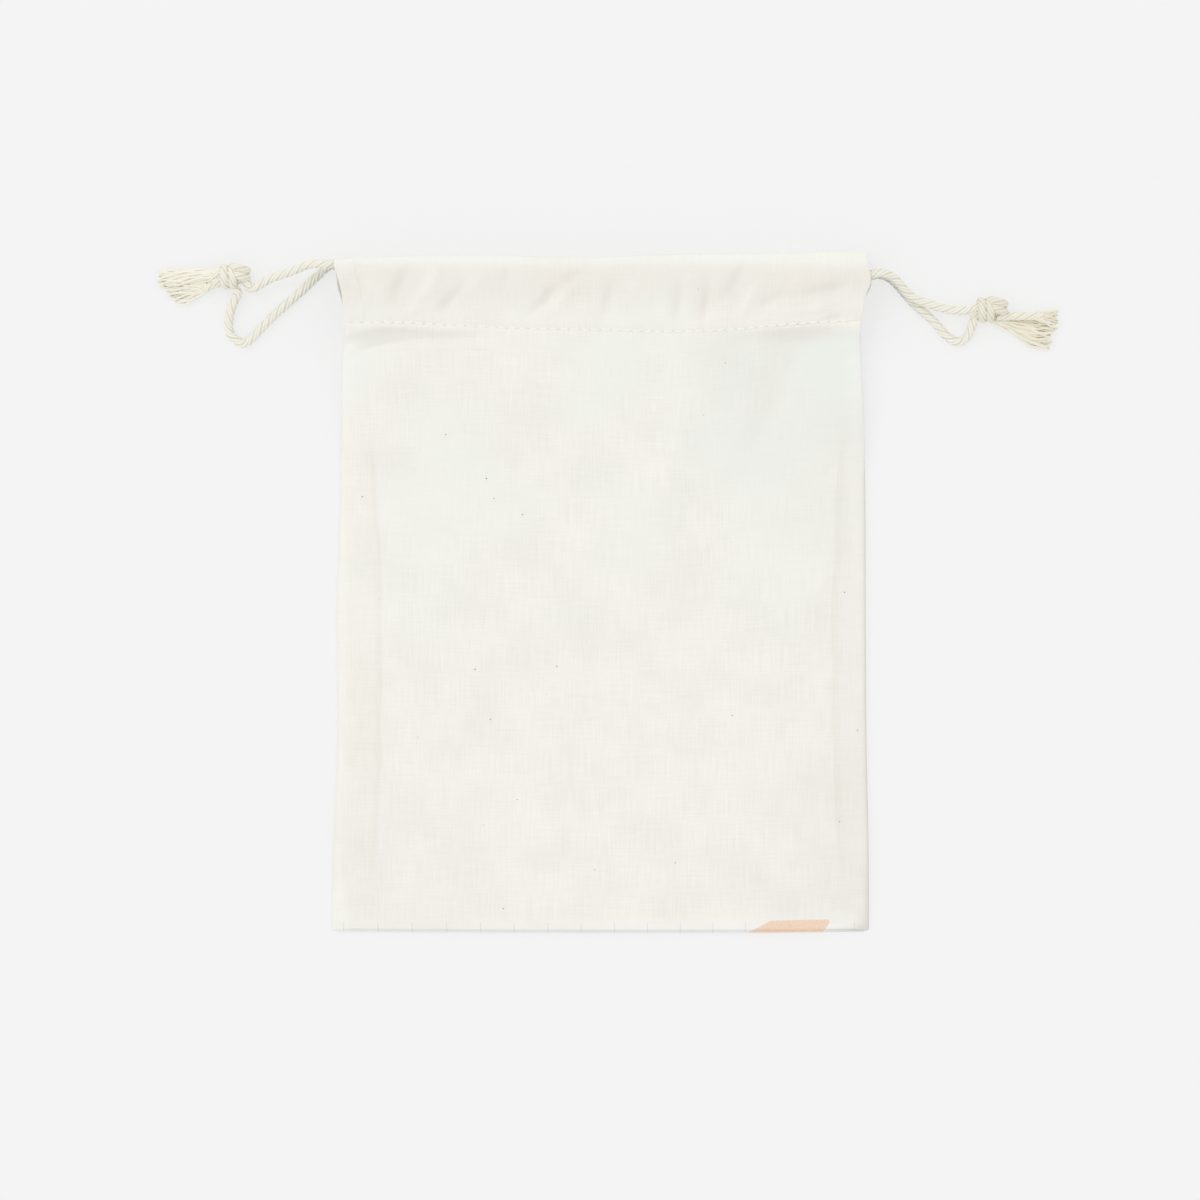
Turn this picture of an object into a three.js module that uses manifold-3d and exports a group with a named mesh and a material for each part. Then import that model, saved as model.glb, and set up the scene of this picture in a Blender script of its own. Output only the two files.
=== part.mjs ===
// A small flat pouch of thin natural cotton with two drawcords, lying on its back panel.
// Millimetres, +Z up. The mouth points along +Y, and the origin is under the middle of the pouch.
// One length of cloth is folded at the bottom and sewn up both sides. Its two mouth edges are
// turned in and stitched down as casings, and each cord runs through both of them, turns at the
// far side slit, comes back, and has its two ends tied together in one overhand knot.

import * as THREE from "three";
import { mergeVertices } from "three/addons/utils/BufferGeometryUtils.js";
import Module from "manifold-3d";

const wasm = await Module();
wasm.setup();

// Driving dimensions of the sewn bag
const pouchHeight = 203;
const pouchWidth = 158.4;
const bottomSpread = 3;
const waistDrawnIn = 3.6;
const clothThickness = 0.4;
const casingHeight = 22.5;
const stitchedEdge = 2.4;
const tunnelRise = 8;
const slitHemWidth = 6;
const mouthGap = 4.6;
const seamAllowance = 11.5;
const seamEndGap = 5;
const foldRise = 34;
const sideCrown = 3;
const mouthCrown = 9;
const mouthCrownLength = 45;
const cornerRadius = 1.4;

// Driving dimensions of the thread
const stitchPitch = 3.1;
const stitchLength = 2.4;
const threadWidth = 0.5;
const threadHeight = 0.22;
const needleHoleShare = 0.45;
const stitchFromEdge = 1.1;
const seamStitchInset = 1.2;

// Driving dimensions of the cords
const cordDiameter = 2.8;
const knotWrapRadius = 2.6;
const knotHeight = 4.1;
const tailThickness = 2.2;
const cordStep = 2.5;

// Clearances: a cord slides in its tunnel, the two cords lie side by side a little way in from the
// rounded fold of the casing, and pieces that meet keep a small gap
const slidingClearance = 0.3;
const betweenCords = 0.4;
const foldRoom = 0.7;
const touchGap = 0.3;
const threadGap = 0.12;
const tableGap = 0.1;

// Places worked out from the driving dimensions
const bottomWidth = pouchWidth + bottomSpread;
const waistWidth = pouchWidth - waistDrawnIn;
const mouthY = pouchHeight / 2;
const foldY = -pouchHeight / 2;
const casingEdgeY = mouthY - casingHeight;
const panelTopY = casingEdgeY - touchGap;
const hemThickness = 2 * clothThickness;
const tunnelBore = clothThickness + cordDiameter + 2 * slidingClearance;
const casingThickness = tunnelBore + 2 * clothThickness;
const frontCasingZ = casingThickness + mouthGap;
const slitX = pouchWidth / 2;
const tunnelEndX = slitX - slitHemWidth - touchGap;
const cordRadius = cordDiameter / 2;
const backLaneZ = hemThickness + slidingClearance + cordRadius;
const frontLaneZ = frontCasingZ + clothThickness + slidingClearance + cordRadius;
const turnRadius = (frontLaneZ - backLaneZ) / 2;
const turnX = slitX - turnRadius - cordRadius - slidingClearance;
const leftLaneY = mouthY - casingThickness / 2 - foldRoom;
const rightLaneY = leftLaneY - cordDiameter - betweenCords;
const panelRimZ = clothThickness + touchGap;
const panelRise = frontCasingZ + hemThickness - panelRimZ;

const cottonCloth = { color: 0xf1efe7, roughness: 0.95, metalness: 0 };
const cottonCord = { color: 0xe9e5d3, roughness: 0.9, metalness: 0 };
const sewingThread = { color: 0xefe6d6, roughness: 0.8, metalness: 0 };

// Flat faces round a half turn of folded cloth
const foldSegments = 8;

const pouch = new THREE.Group();

function addPiece(name, geometry, look) {
  const mesh = new THREE.Mesh(geometry, new THREE.MeshStandardMaterial(look));
  mesh.name = name;
  pouch.add(mesh);
}

function bare(geometry) {
  geometry.deleteAttribute("normal");
  geometry.deleteAttribute("uv");
  return mergeVertices(geometry, 1e-4);
}

// Half the pouch's width at a height y: widest at the bottom fold, drawn in under the casing
function halfWidthAt(y) {
  const share = (y - foldY) / (casingEdgeY - foldY);
  return THREE.MathUtils.lerp(bottomWidth, waistWidth, share) / 2;
}

// A section in the YZ plane, carried along X from one place to another
function alongX(shape, fromX, toX) {
  const geometry = new THREE.ExtrudeGeometry(shape, {
    depth: toX - fromX,
    bevelEnabled: false,
    curveSegments: foldSegments,
  });
  const turn = new THREE.Matrix4().makeBasis(
    new THREE.Vector3(0, 1, 0),
    new THREE.Vector3(0, 0, 1),
    new THREE.Vector3(1, 0, 0),
  );
  geometry.applyMatrix4(turn);
  geometry.translate(fromX, 0, 0);
  return bare(geometry);
}

// Back panel: flat cloth on the table, from the bottom fold up to the casing
function backPanel() {
  const bottom = bottomWidth / 2;
  const top = halfWidthAt(panelTopY);
  const shape = new THREE.Shape();
  shape.moveTo(-bottom + cornerRadius, foldY);
  shape.lineTo(bottom - cornerRadius, foldY);
  shape.quadraticCurveTo(bottom, foldY, bottom, foldY + cornerRadius);
  shape.lineTo(top, panelTopY);
  shape.lineTo(-top, panelTopY);
  shape.lineTo(-bottom, foldY + cornerRadius);
  shape.quadraticCurveTo(-bottom, foldY, -bottom + cornerRadius, foldY);
  return bare(
    new THREE.ExtrudeGeometry(shape, {
      depth: clothThickness,
      bevelEnabled: false,
      curveSegments: foldSegments / 2,
    }),
  );
}

// A sheet with thickness: two grids of points, one over the other, closed round their edges
function thickSheet(outerGrid, innerGrid) {
  const rows = outerGrid.length;
  const columns = outerGrid[0].length;
  const points = [...outerGrid.flat(), ...innerGrid.flat()];
  const triangles = [];
  const outer = (row, column) => row * columns + column;
  const inner = (row, column) => rows * columns + row * columns + column;
  const quad = (a, b, c, d) => triangles.push(a, b, c, a, c, d);
  for (let row = 0; row < rows - 1; row += 1) {
    for (let column = 0; column < columns - 1; column += 1) {
      quad(
        outer(row, column),
        outer(row, column + 1),
        outer(row + 1, column + 1),
        outer(row + 1, column),
      );
      quad(
        inner(row, column),
        inner(row + 1, column),
        inner(row + 1, column + 1),
        inner(row, column + 1),
      );
    }
    quad(outer(row, 0), outer(row + 1, 0), inner(row + 1, 0), inner(row, 0));
    const last = columns - 1;
    quad(outer(row + 1, last), outer(row, last), inner(row, last), inner(row + 1, last));
  }
  for (let column = 0; column < columns - 1; column += 1) {
    const last = rows - 1;
    quad(outer(0, column + 1), outer(0, column), inner(0, column), inner(0, column + 1));
    quad(
      outer(last, column),
      outer(last, column + 1),
      inner(last, column + 1),
      inner(last, column),
    );
  }
  const geometry = new THREE.BufferGeometry();
  geometry.setAttribute(
    "position",
    new THREE.Float32BufferAttribute(points.flatMap((point) => point.toArray()), 3),
  );
  geometry.setIndex(triangles);
  return mergeVertices(geometry, 1e-4);
}

// Front panel: it rises from the side seams and the bottom fold to the level of the mouth, as
// cloth does over a little air, and its sides stand steeper towards the casing.
function frontPanel() {
  const acrossSteps = 26;
  const foldSteps = 8;
  const upSteps = 10;
  const straightY = foldY + foldRise;
  const grid = (inset) => {
    const rows = [];
    for (let row = 0; row <= foldSteps + upSteps; row += 1) {
      let y;
      let rise;
      if (row < foldSteps) {
        const angle = (row / foldSteps) * (Math.PI / 2);
        const depth = (foldRise - inset) * Math.cos(angle) ** (2 / sideCrown);
        y = straightY - depth;
        rise = Math.sin(angle) ** (2 / sideCrown);
      } else {
        y = THREE.MathUtils.lerp(straightY, panelTopY, (row - foldSteps) / upSteps);
        rise = 1;
      }
      const steepen = THREE.MathUtils.smoothstep(y, panelTopY - mouthCrownLength, panelTopY);
      const crown = THREE.MathUtils.lerp(sideCrown, mouthCrown, steepen);
      const half = halfWidthAt(y) - inset;
      const points = [];
      for (let step = 0; step <= acrossSteps; step += 1) {
        const angle = (step / acrossSteps) * Math.PI;
        const side = Math.abs(Math.cos(angle)) ** (2 / crown);
        const x = -Math.sign(Math.cos(angle)) * half * side;
        const lift = Math.max(0, Math.sin(angle)) ** (2 / crown);
        points.push(new THREE.Vector3(x, y, panelRimZ + (panelRise - inset) * rise * lift));
      }
      rows.push(points);
    }
    return rows;
  };
  return thickSheet(grid(0), grid(clothThickness));
}

// The casing's upper line at y, above its lower face: stitched flat at its edge, then risen
function casingArch(y) {
  const share = THREE.MathUtils.smoothstep(
    y,
    casingEdgeY + stitchedEdge,
    casingEdgeY + stitchedEdge + tunnelRise,
  );
  return hemThickness + (casingThickness - hemThickness) * share;
}

function archPoints(inset, baseZ) {
  const steps = 8;
  const startY = casingEdgeY + stitchedEdge;
  const points = [];
  for (let step = 0; step <= steps; step += 1) {
    const y = startY + (tunnelRise * step) / steps;
    points.push(new THREE.Vector2(y, baseZ + casingArch(y) - inset));
  }
  return points;
}

// Casing: the mouth edge folded over into a tunnel, teardrop in section, open at both ends
function casing(baseZ) {
  const foldCentreY = mouthY - casingThickness / 2;
  const foldCentreZ = baseZ + casingThickness / 2;
  const wall = new THREE.Shape();
  wall.moveTo(casingEdgeY, baseZ);
  wall.lineTo(foldCentreY, baseZ);
  wall.absarc(foldCentreY, foldCentreZ, casingThickness / 2, -Math.PI / 2, Math.PI / 2, false);
  archPoints(0, baseZ)
    .reverse()
    .forEach((point) => wall.lineTo(point.x, point.y));
  wall.lineTo(casingEdgeY, baseZ + hemThickness);
  wall.closePath();

  const bore = new THREE.Path();
  bore.moveTo(casingEdgeY + stitchedEdge, baseZ + clothThickness);
  bore.lineTo(foldCentreY, baseZ + clothThickness);
  bore.absarc(foldCentreY, foldCentreZ, tunnelBore / 2, -Math.PI / 2, Math.PI / 2, false);
  archPoints(clothThickness, baseZ)
    .reverse()
    .slice(0, -1)
    .forEach((point) => bore.lineTo(point.x, point.y));
  bore.closePath();
  wall.holes.push(bore);
  return alongX(wall, -tunnelEndX, tunnelEndX);
}

// Slit hem: past the end of the tunnel only the outer wall goes on, its raw edge turned under,
// so that the far turn of a cord has room beside it. On the back casing that wall is the lower
// one, and on the front casing it is the arched upper one.
function slitHem(baseZ, onFront, side) {
  const foldCentreY = mouthY - casingThickness / 2;
  const foldCentreZ = baseZ + casingThickness / 2;
  const outerRadius = casingThickness / 2;
  const innerRadius = outerRadius - hemThickness;
  const strip = new THREE.Shape();
  if (onFront) {
    strip.moveTo(casingEdgeY, baseZ);
    archPoints(hemThickness, baseZ).forEach((point) => strip.lineTo(point.x, point.y));
    strip.absarc(foldCentreY, foldCentreZ, innerRadius, Math.PI / 2, 0, true);
    strip.lineTo(mouthY, foldCentreZ);
    strip.absarc(foldCentreY, foldCentreZ, outerRadius, 0, Math.PI / 2, false);
    archPoints(0, baseZ)
      .reverse()
      .forEach((point) => strip.lineTo(point.x, point.y));
    strip.lineTo(casingEdgeY, baseZ + hemThickness);
  } else {
    strip.moveTo(casingEdgeY, baseZ);
    strip.lineTo(foldCentreY, baseZ);
    strip.absarc(foldCentreY, foldCentreZ, outerRadius, -Math.PI / 2, 0, false);
    strip.lineTo(mouthY - hemThickness, foldCentreZ);
    strip.absarc(foldCentreY, foldCentreZ, innerRadius, 0, -Math.PI / 2, true);
    strip.lineTo(casingEdgeY, baseZ + hemThickness);
  }
  strip.closePath();
  const inner = slitX - slitHemWidth;
  return side > 0 ? alongX(strip, inner, slitX) : alongX(strip, -slitX, -inner);
}

// Seam allowance: the two cloth edges inside a side seam, pressed together on the back panel
function seamAllowanceStrip(side) {
  const startY = foldY + seamEndGap;
  const endY = panelTopY - touchGap;
  const outerAt = (y) => halfWidthAt(y) - clothThickness - seamStitchInset;
  const shape = new THREE.Shape();
  shape.moveTo(side * outerAt(startY), startY);
  shape.lineTo(side * outerAt(endY), endY);
  shape.lineTo(side * (halfWidthAt(endY) - seamAllowance), endY);
  shape.lineTo(side * (halfWidthAt(startY) - seamAllowance), startY);
  shape.closePath();
  const geometry = new THREE.ExtrudeGeometry(shape, { depth: hemThickness, bevelEnabled: false });
  geometry.translate(0, 0, panelRimZ);
  return bare(geometry);
}

// A closed solid through a list of rings, each with the same number of points, capped at its ends
function closedLoft(rings) {
  const count = rings[0].length;
  const points = rings.flat();
  const triangles = [];
  const at = (ring, corner) => ring * count + (corner % count);
  for (let ring = 0; ring < rings.length - 1; ring += 1) {
    for (let corner = 0; corner < count; corner += 1) {
      const [a, b] = [at(ring, corner), at(ring, corner + 1)];
      const [c, d] = [at(ring + 1, corner + 1), at(ring + 1, corner)];
      triangles.push(a, b, c, a, c, d);
    }
  }
  const last = rings.length - 1;
  for (let corner = 1; corner < count - 1; corner += 1) {
    triangles.push(at(0, 0), at(0, corner + 1), at(0, corner));
    triangles.push(at(last, 0), at(last, corner), at(last, corner + 1));
  }
  const geometry = new THREE.BufferGeometry();
  geometry.setAttribute(
    "position",
    new THREE.Float32BufferAttribute(points.flatMap((point) => point.toArray()), 3),
  );
  geometry.setIndex(triangles);
  return mergeVertices(geometry, 1e-4);
}

// A sewn row: one thread that lies on the cloth for each stitch and dips where the needle went in
function sewnThread(from, to) {
  const heading = to.clone().sub(from);
  const count = Math.floor(heading.length() / stitchPitch);
  const pitch = heading.length() / count;
  heading.normalize();
  const across = new THREE.Vector3(-heading.y, heading.x, 0);
  const up = new THREE.Vector3(0, 0, 1);
  const ring = (distance, width, height) => {
    const foot = from.clone().addScaledVector(heading, distance);
    return [
      foot.clone().addScaledVector(across, width / 2),
      foot.clone().addScaledVector(up, height),
      foot.clone().addScaledVector(across, -width / 2),
    ];
  };
  const rings = [];
  for (let index = 0; index < count; index += 1) {
    const start = index * pitch;
    rings.push(ring(start, threadWidth * needleHoleShare, threadHeight * needleHoleShare));
    rings.push(ring(start + (pitch - stitchLength), threadWidth, threadHeight));
    rings.push(ring(start + stitchLength, threadWidth, threadHeight));
  }
  rings.push(ring(count * pitch, threadWidth * needleHoleShare, threadHeight * needleHoleShare));
  return closedLoft(rings);
}

function casingStitches(baseZ) {
  const y = casingEdgeY + stitchFromEdge;
  const z = baseZ + hemThickness + threadGap;
  return sewnThread(
    new THREE.Vector3(-tunnelEndX, y, z),
    new THREE.Vector3(tunnelEndX, y, z),
  );
}

function seamStitches(side) {
  const startY = foldY + seamEndGap;
  const endY = panelTopY - touchGap;
  const inset = clothThickness + seamStitchInset + threadWidth;
  const z = panelRimZ + hemThickness + threadGap;
  return sewnThread(
    new THREE.Vector3(side * (halfWidthAt(startY) - inset), startY, z),
    new THREE.Vector3(side * (halfWidthAt(endY) - inset), endY, z),
  );
}

// A cord's round section, with flat sides
function cordSection() {
  const sides = 8;
  const shape = new THREE.Shape();
  for (let corner = 0; corner < sides; corner += 1) {
    const angle = (corner / sides) * Math.PI * 2;
    const x = cordRadius * Math.cos(angle);
    const y = cordRadius * Math.sin(angle);
    if (corner === 0) shape.moveTo(x, y);
    else shape.lineTo(x, y);
  }
  shape.closePath();
  return shape;
}

function cordAlong(curve, steps) {
  return bare(
    new THREE.ExtrudeGeometry(cordSection(), {
      steps,
      extrudePath: curve,
      bevelEnabled: false,
    }),
  );
}

// Cord inside a casing: it runs straight from the near slit to where the far turn begins.
// pull is -1 for the cord that is drawn out to the left, and 1 for the other.
function casingRun(pull, laneY, laneZ) {
  const from = new THREE.Vector3(pull * slitX, laneY, laneZ);
  const to = new THREE.Vector3(-pull * (turnX - touchGap), laneY, laneZ);
  return cordAlong(new THREE.LineCurve3(from, to), 1);
}

// Far turn: the cord comes out of the front casing, turns down beside the slit and goes back in
function farTurn(pull, laneY) {
  const middleZ = (frontLaneZ + backLaneZ) / 2;
  const bends = 12;
  const points = [];
  for (let bend = 0; bend <= bends; bend += 1) {
    const angle = Math.PI / 2 - (Math.PI * bend) / bends;
    points.push(
      new THREE.Vector3(
        -pull * (turnX + turnRadius * Math.cos(angle)),
        laneY,
        middleZ + turnRadius * Math.sin(angle),
      ),
    );
  }
  return cordAlong(new THREE.CatmullRomCurve3(points), bends);
}

// Routes of the free strands, from the slit to the knot. Each point is [out, up, tunnel, knot]:
// how far out from the slit and up from its lane it lies, and how much of the height of its tunnel
// and of the height of the knot it still has or has reached, over lying on the table.
const strandRoutes = {
  leftFront: [
    [touchGap, 0, 1, 0],
    [1.6, 0, 1, 0],
    [3.6, 0, 0.96, 0],
    [7.7, -0.1, 0.78, 0.05],
    [13.7, -2.2, 0.42, 0.3],
    [19.8, -4.2, 0.1, 0.8],
    [23.8, -6.5, 0, 1],
    [25.6, -7, 0, 1],
  ],
  leftBack: [
    [touchGap, 0, 1, 0],
    [1.6, 0, 1, 0],
    [3.2, -0.9, 0.8, 0],
    [6.2, -3.6, 0.2, 0],
    [9.9, -7.1, 0, 0],
    [13.8, -10.6, 0, 0],
    [17.9, -14.2, 0, 0],
    [21.8, -18.1, 0, 0],
    [25.4, -21.8, 0, 0],
    [27.9, -23.4, 0, 0],
    [30.3, -22.2, 0, 0],
    [32, -20.2, 0, 0],
    [32.3, -16.9, 0, 0.05],
    [31.5, -13.3, 0, 0.25],
    [30.2, -10.2, 0, 0.6],
    [29.4, -8.4, 0, 0.8],
  ],
  rightFront: [
    [touchGap, 0, 1, 0],
    [1.6, 0, 1, 0],
    [4.2, 0.6, 0.95, 0],
    [7.4, -0.3, 0.78, 0],
    [10.2, -2.5, 0.56, 0],
    [12.6, -5.3, 0.38, 0.05],
    [15.4, -7.1, 0.22, 0.25],
    [19.5, -8.6, 0.06, 0.6],
    [23.5, -9.8, 0, 0.95],
    [27.5, -10.4, 0, 1],
    [30.6, -10.3, 0, 1],
  ],
  rightBack: [
    [touchGap, 0, 1, 0],
    [1.6, 0, 1, 0],
    [4, 0.5, 0.6, 0],
    [7.4, -0.6, 0, 0],
    [10, -2.9, 0, 0],
    [12.4, -5.8, 0, 0],
    [15.3, -8.9, 0, 0],
    [18.7, -11.8, 0, 0],
    [21.5, -14.6, 0, 0],
    [24.3, -17.8, 0, 0],
    [26.6, -19.4, 0, 0],
    [28.7, -19.6, 0, 0],
    [30.7, -18.2, 0, 0.1],
    [31.9, -15.6, 0, 0.4],
    [32.5, -13.7, 0, 0.65],
  ],
};

const cordLiesAt = cordRadius + tableGap;

function strandCurve(route, pull, laneY, laneZ) {
  const points = route.map(
    ([out, up, tunnel, knot]) =>
      new THREE.Vector3(
        pull * (slitX + out),
        laneY + up,
        cordLiesAt + tunnel * (laneZ - cordLiesAt) + knot * (knotHeight - cordLiesAt),
      ),
  );
  return new THREE.CatmullRomCurve3(points, false, "centripetal");
}

function freeStrand(curve) {
  return cordAlong(curve, Math.round(curve.getLength() / cordStep));
}

function toSolid(geometry) {
  const { position } = geometry.attributes;
  return new wasm.Manifold(
    new wasm.Mesh({
      numProp: 3,
      vertProperties: new Float32Array(position.array),
      triVerts: new Uint32Array(geometry.index.array),
    }),
  );
}

function toGeometry(solid) {
  const mesh = solid.getMesh();
  const geometry = new THREE.BufferGeometry();
  geometry.setAttribute("position", new THREE.BufferAttribute(mesh.vertProperties, 3));
  geometry.setIndex(new THREE.BufferAttribute(mesh.triVerts, 1));
  return geometry;
}

// Overhand knot, tied with both ends of the cord together. About its own middle, x runs along
// the cords. Each strand comes in through the core, winds once round both passes of the cords as
// the wrap, bends over the side of the core as the lobe, and goes back through the middle.
const wrapTurn = {
  strandSpacing: 2.3,
  drift: 1.3,
  overlap: 25,
  dipFrom: 165,
  dipRadius: 1.2,
  steps: 22,
};
const lobeRoute = [
  [0.9, 1.7, 1.5],
  [2.6, 1.5, 2.3],
  [4.4, 1, 2],
  [5.5, 0.7, 0.4],
  [4.9, 0.5, -1.2],
  [2.8, 0.3, -1.6],
  [0.8, 0.2, -1],
];
const lobe = { spread: 1.15, steps: 12 };
const knotCore = { length: 4.3, across: 2.5, middle: 0.9 };
const stub = { straight: 1, inward: 0.55, steps: 6 };

function wrapCurve(offset) {
  const points = [];
  const turn = 360 + 2 * wrapTurn.overlap;
  for (let step = 0; step <= wrapTurn.steps; step += 1) {
    const share = step / wrapTurn.steps;
    const angle = THREE.MathUtils.degToRad(share * turn - wrapTurn.overlap - 90);
    const buried = THREE.MathUtils.smoothstep(Math.abs(share - 0.5) * turn, wrapTurn.dipFrom, turn / 2);
    const radius = THREE.MathUtils.lerp(knotWrapRadius, wrapTurn.dipRadius, buried);
    points.push(
      new THREE.Vector3(
        offset + wrapTurn.drift * (share - 0.5),
        radius * Math.cos(angle),
        radius * Math.sin(angle),
      ),
    );
  }
  return new THREE.CatmullRomCurve3(points);
}

function lobeCurve(offset) {
  const points = lobeRoute.map(([x, y, z]) => new THREE.Vector3(x, y + offset, z));
  return new THREE.CatmullRomCurve3(points);
}

// A stub runs from the face that a strand or tail meets into the middle of the knot
function stubCurve(face, direction, centre) {
  const end = face.clone().addScaledVector(direction, touchGap);
  const start = end.clone().addScaledVector(direction, stub.straight);
  const inside = start.clone().lerp(centre, stub.inward);
  return new THREE.CatmullRomCurve3([end, start, inside, centre], false, "centripetal");
}

function knot(centre, meetings) {
  const placed = (curve) => {
    const points = curve.points.map((point) => point.clone().add(centre));
    return new THREE.CatmullRomCurve3(points, false, "centripetal");
  };
  const core = new THREE.SphereGeometry(1, 16, 10);
  core.scale(knotCore.length, knotCore.across, knotCore.across);
  core.translate(centre.x + knotCore.middle, centre.y, centre.z);
  let solid = toSolid(bare(core));
  const half = wrapTurn.strandSpacing / 2;
  for (const offset of [-half, half]) {
    solid = solid.add(toSolid(cordAlong(placed(wrapCurve(offset)), wrapTurn.steps)));
  }
  for (const offset of [-lobe.spread, lobe.spread]) {
    solid = solid.add(toSolid(cordAlong(placed(lobeCurve(offset)), lobe.steps)));
  }
  for (const [face, direction] of meetings) {
    solid = solid.add(toSolid(cordAlong(stubCurve(face, direction, centre), stub.steps)));
  }
  const [knotSurface] = solid.decompose().filter((shell) => shell.volume() > 0);
  return bare(toGeometry(knotSurface));
}

// Frayed tail: past the knot the cord's yarns come apart into a flat tuft. Each point is
// [x, y, knot, width]: its place from the middle of the knot, its share of the knot's height
// over lying on the table, and the tuft's width there.
const tailRoutes = {
  leftUpper: [
    [-5.4, 0.5, 0.8, 2.8],
    [-8, 0.5, 0.4, 3],
    [-12, 0.3, 0.1, 3.8],
    [-16, 0, 0, 4.6],
    [-20.2, -0.3, 0, 5.2],
  ],
  leftLower: [
    [-5.4, -3, 0.6, 2.6],
    [-8.4, -3.5, 0.2, 2.6],
    [-11.6, -4.5, 0, 3.4],
    [-14.6, -5.8, 0, 4.6],
    [-17.4, -7.1, 0, 5.2],
  ],
  rightUpper: [
    [7.5, -1.4, 0.7, 2.8],
    [9.4, -1.4, 0.4, 2.8],
    [12.5, -1.2, 0.1, 2.8],
    [16, -1.2, 0, 2.9],
    [19, -1.1, 0, 3.4],
  ],
  rightLower: [
    [4.6, -4.2, 0.5, 2.6],
    [7.6, -5, 0.15, 3.2],
    [11.4, -6, 0, 4.8],
    [15.2, -7, 0, 6.4],
    [19.6, -7.6, 0, 7.4],
  ],
};
const tuftLobes = 6;
const tuftGroove = 0.12;

function tailPoints(route, centre) {
  const tailLiesAt = tailThickness / 2 + tableGap;
  return route.map(
    ([x, y, knotShare]) =>
      new THREE.Vector3(
        centre.x + x,
        centre.y + y,
        tailLiesAt + knotShare * (centre.z - tailLiesAt),
      ),
  );
}

function frayedTail(route, centre) {
  const curve = new THREE.CatmullRomCurve3(tailPoints(route, centre), false, "centripetal");
  const stations = 8;
  const corners = 4 * tuftLobes;
  const widths = route.map((point) => point[3]);
  const rings = [];
  for (let station = 0; station <= stations; station += 1) {
    const share = station / stations;
    const middle = curve.getPoint(share);
    const along = curve.getTangent(share);
    const across = new THREE.Vector3(-along.y, along.x, 0).normalize();
    const up = new THREE.Vector3().crossVectors(along, across);
    const place = share * (widths.length - 1);
    const before = Math.min(Math.floor(place), widths.length - 2);
    const width = THREE.MathUtils.lerp(widths[before], widths[before + 1], place - before);
    const ring = [];
    for (let corner = 0; corner < corners; corner += 1) {
      const angle = (corner / corners) * Math.PI * 2;
      const ridge = 1 - tuftGroove * share * (0.5 - 0.5 * Math.cos(angle * 2 * tuftLobes));
      const point = middle
        .clone()
        .addScaledVector(across, (width / 2) * ridge * Math.cos(angle))
        .addScaledVector(up, (tailThickness / 2) * ridge * Math.sin(angle));
      ring.push(point);
    }
    rings.push(ring);
  }
  return closedLoft(rings);
}

for (const [name, geometry] of [
  ["front_panel", frontPanel()],
  ["back_panel", backPanel()],
  ["front_casing", casing(frontCasingZ)],
  ["back_casing", casing(0)],
  ["front_left_slit_hem", slitHem(frontCasingZ, true, -1)],
  ["front_right_slit_hem", slitHem(frontCasingZ, true, 1)],
  ["back_left_slit_hem", slitHem(0, false, -1)],
  ["back_right_slit_hem", slitHem(0, false, 1)],
  ["left_seam_allowance", seamAllowanceStrip(-1)],
  ["right_seam_allowance", seamAllowanceStrip(1)],
]) {
  addPiece(name, geometry, cottonCloth);
}

for (const [name, geometry] of [
  ["front_casing_stitches", casingStitches(frontCasingZ)],
  ["back_casing_stitches", casingStitches(0)],
  ["left_seam_stitches", seamStitches(-1)],
  ["right_seam_stitches", seamStitches(1)],
]) {
  addPiece(name, geometry, sewingThread);
}

// Each cord: its runs in the two casings, its far turn, its two strands, its knot and its tails
const knotPlaces = { left: [32.2, -3.5], right: [36.1, -10.3] };

function endOf(curve, share) {
  const outward = share > 0.5 ? 1 : -1;
  return [curve.getPoint(share), curve.getTangent(share).multiplyScalar(outward)];
}

for (const [side, pull, laneY] of [
  ["left", -1, leftLaneY],
  ["right", 1, rightLaneY],
]) {
  const [out, up] = knotPlaces[side];
  const centre = new THREE.Vector3(pull * (slitX + out), laneY + up, knotHeight);
  const front = strandCurve(strandRoutes[`${side}Front`], pull, laneY, frontLaneZ);
  const back = strandCurve(strandRoutes[`${side}Back`], pull, laneY, backLaneZ);
  const meetings = [endOf(front, 1), endOf(back, 1)];
  for (const tail of ["Upper", "Lower"]) {
    const route = tailRoutes[`${side}${tail}`];
    const curve = new THREE.CatmullRomCurve3(tailPoints(route, centre), false, "centripetal");
    meetings.push(endOf(curve, 0));
    addPiece(`${side}_cord_${tail.toLowerCase()}_tail`, frayedTail(route, centre), cottonCord);
  }
  addPiece(`${side}_cord_front_run`, casingRun(pull, laneY, frontLaneZ), cottonCord);
  addPiece(`${side}_cord_back_run`, casingRun(pull, laneY, backLaneZ), cottonCord);
  addPiece(`${side}_cord_far_turn`, farTurn(pull, laneY), cottonCord);
  addPiece(`${side}_cord_front_strand`, freeStrand(front), cottonCord);
  addPiece(`${side}_cord_back_strand`, freeStrand(back), cottonCord);
  addPiece(`${side}_cord_knot`, knot(centre, meetings), cottonCord);
}

export default pouch;
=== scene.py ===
# A small flat pouch of thin natural cotton with two drawcords, on a pale table, seen from above.
# Metres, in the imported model's frame: +Y runs from the bottom fold to the mouth, and +Z is up.

import math

import bmesh
import bpy
import numpy as np
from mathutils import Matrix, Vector, noise


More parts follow.
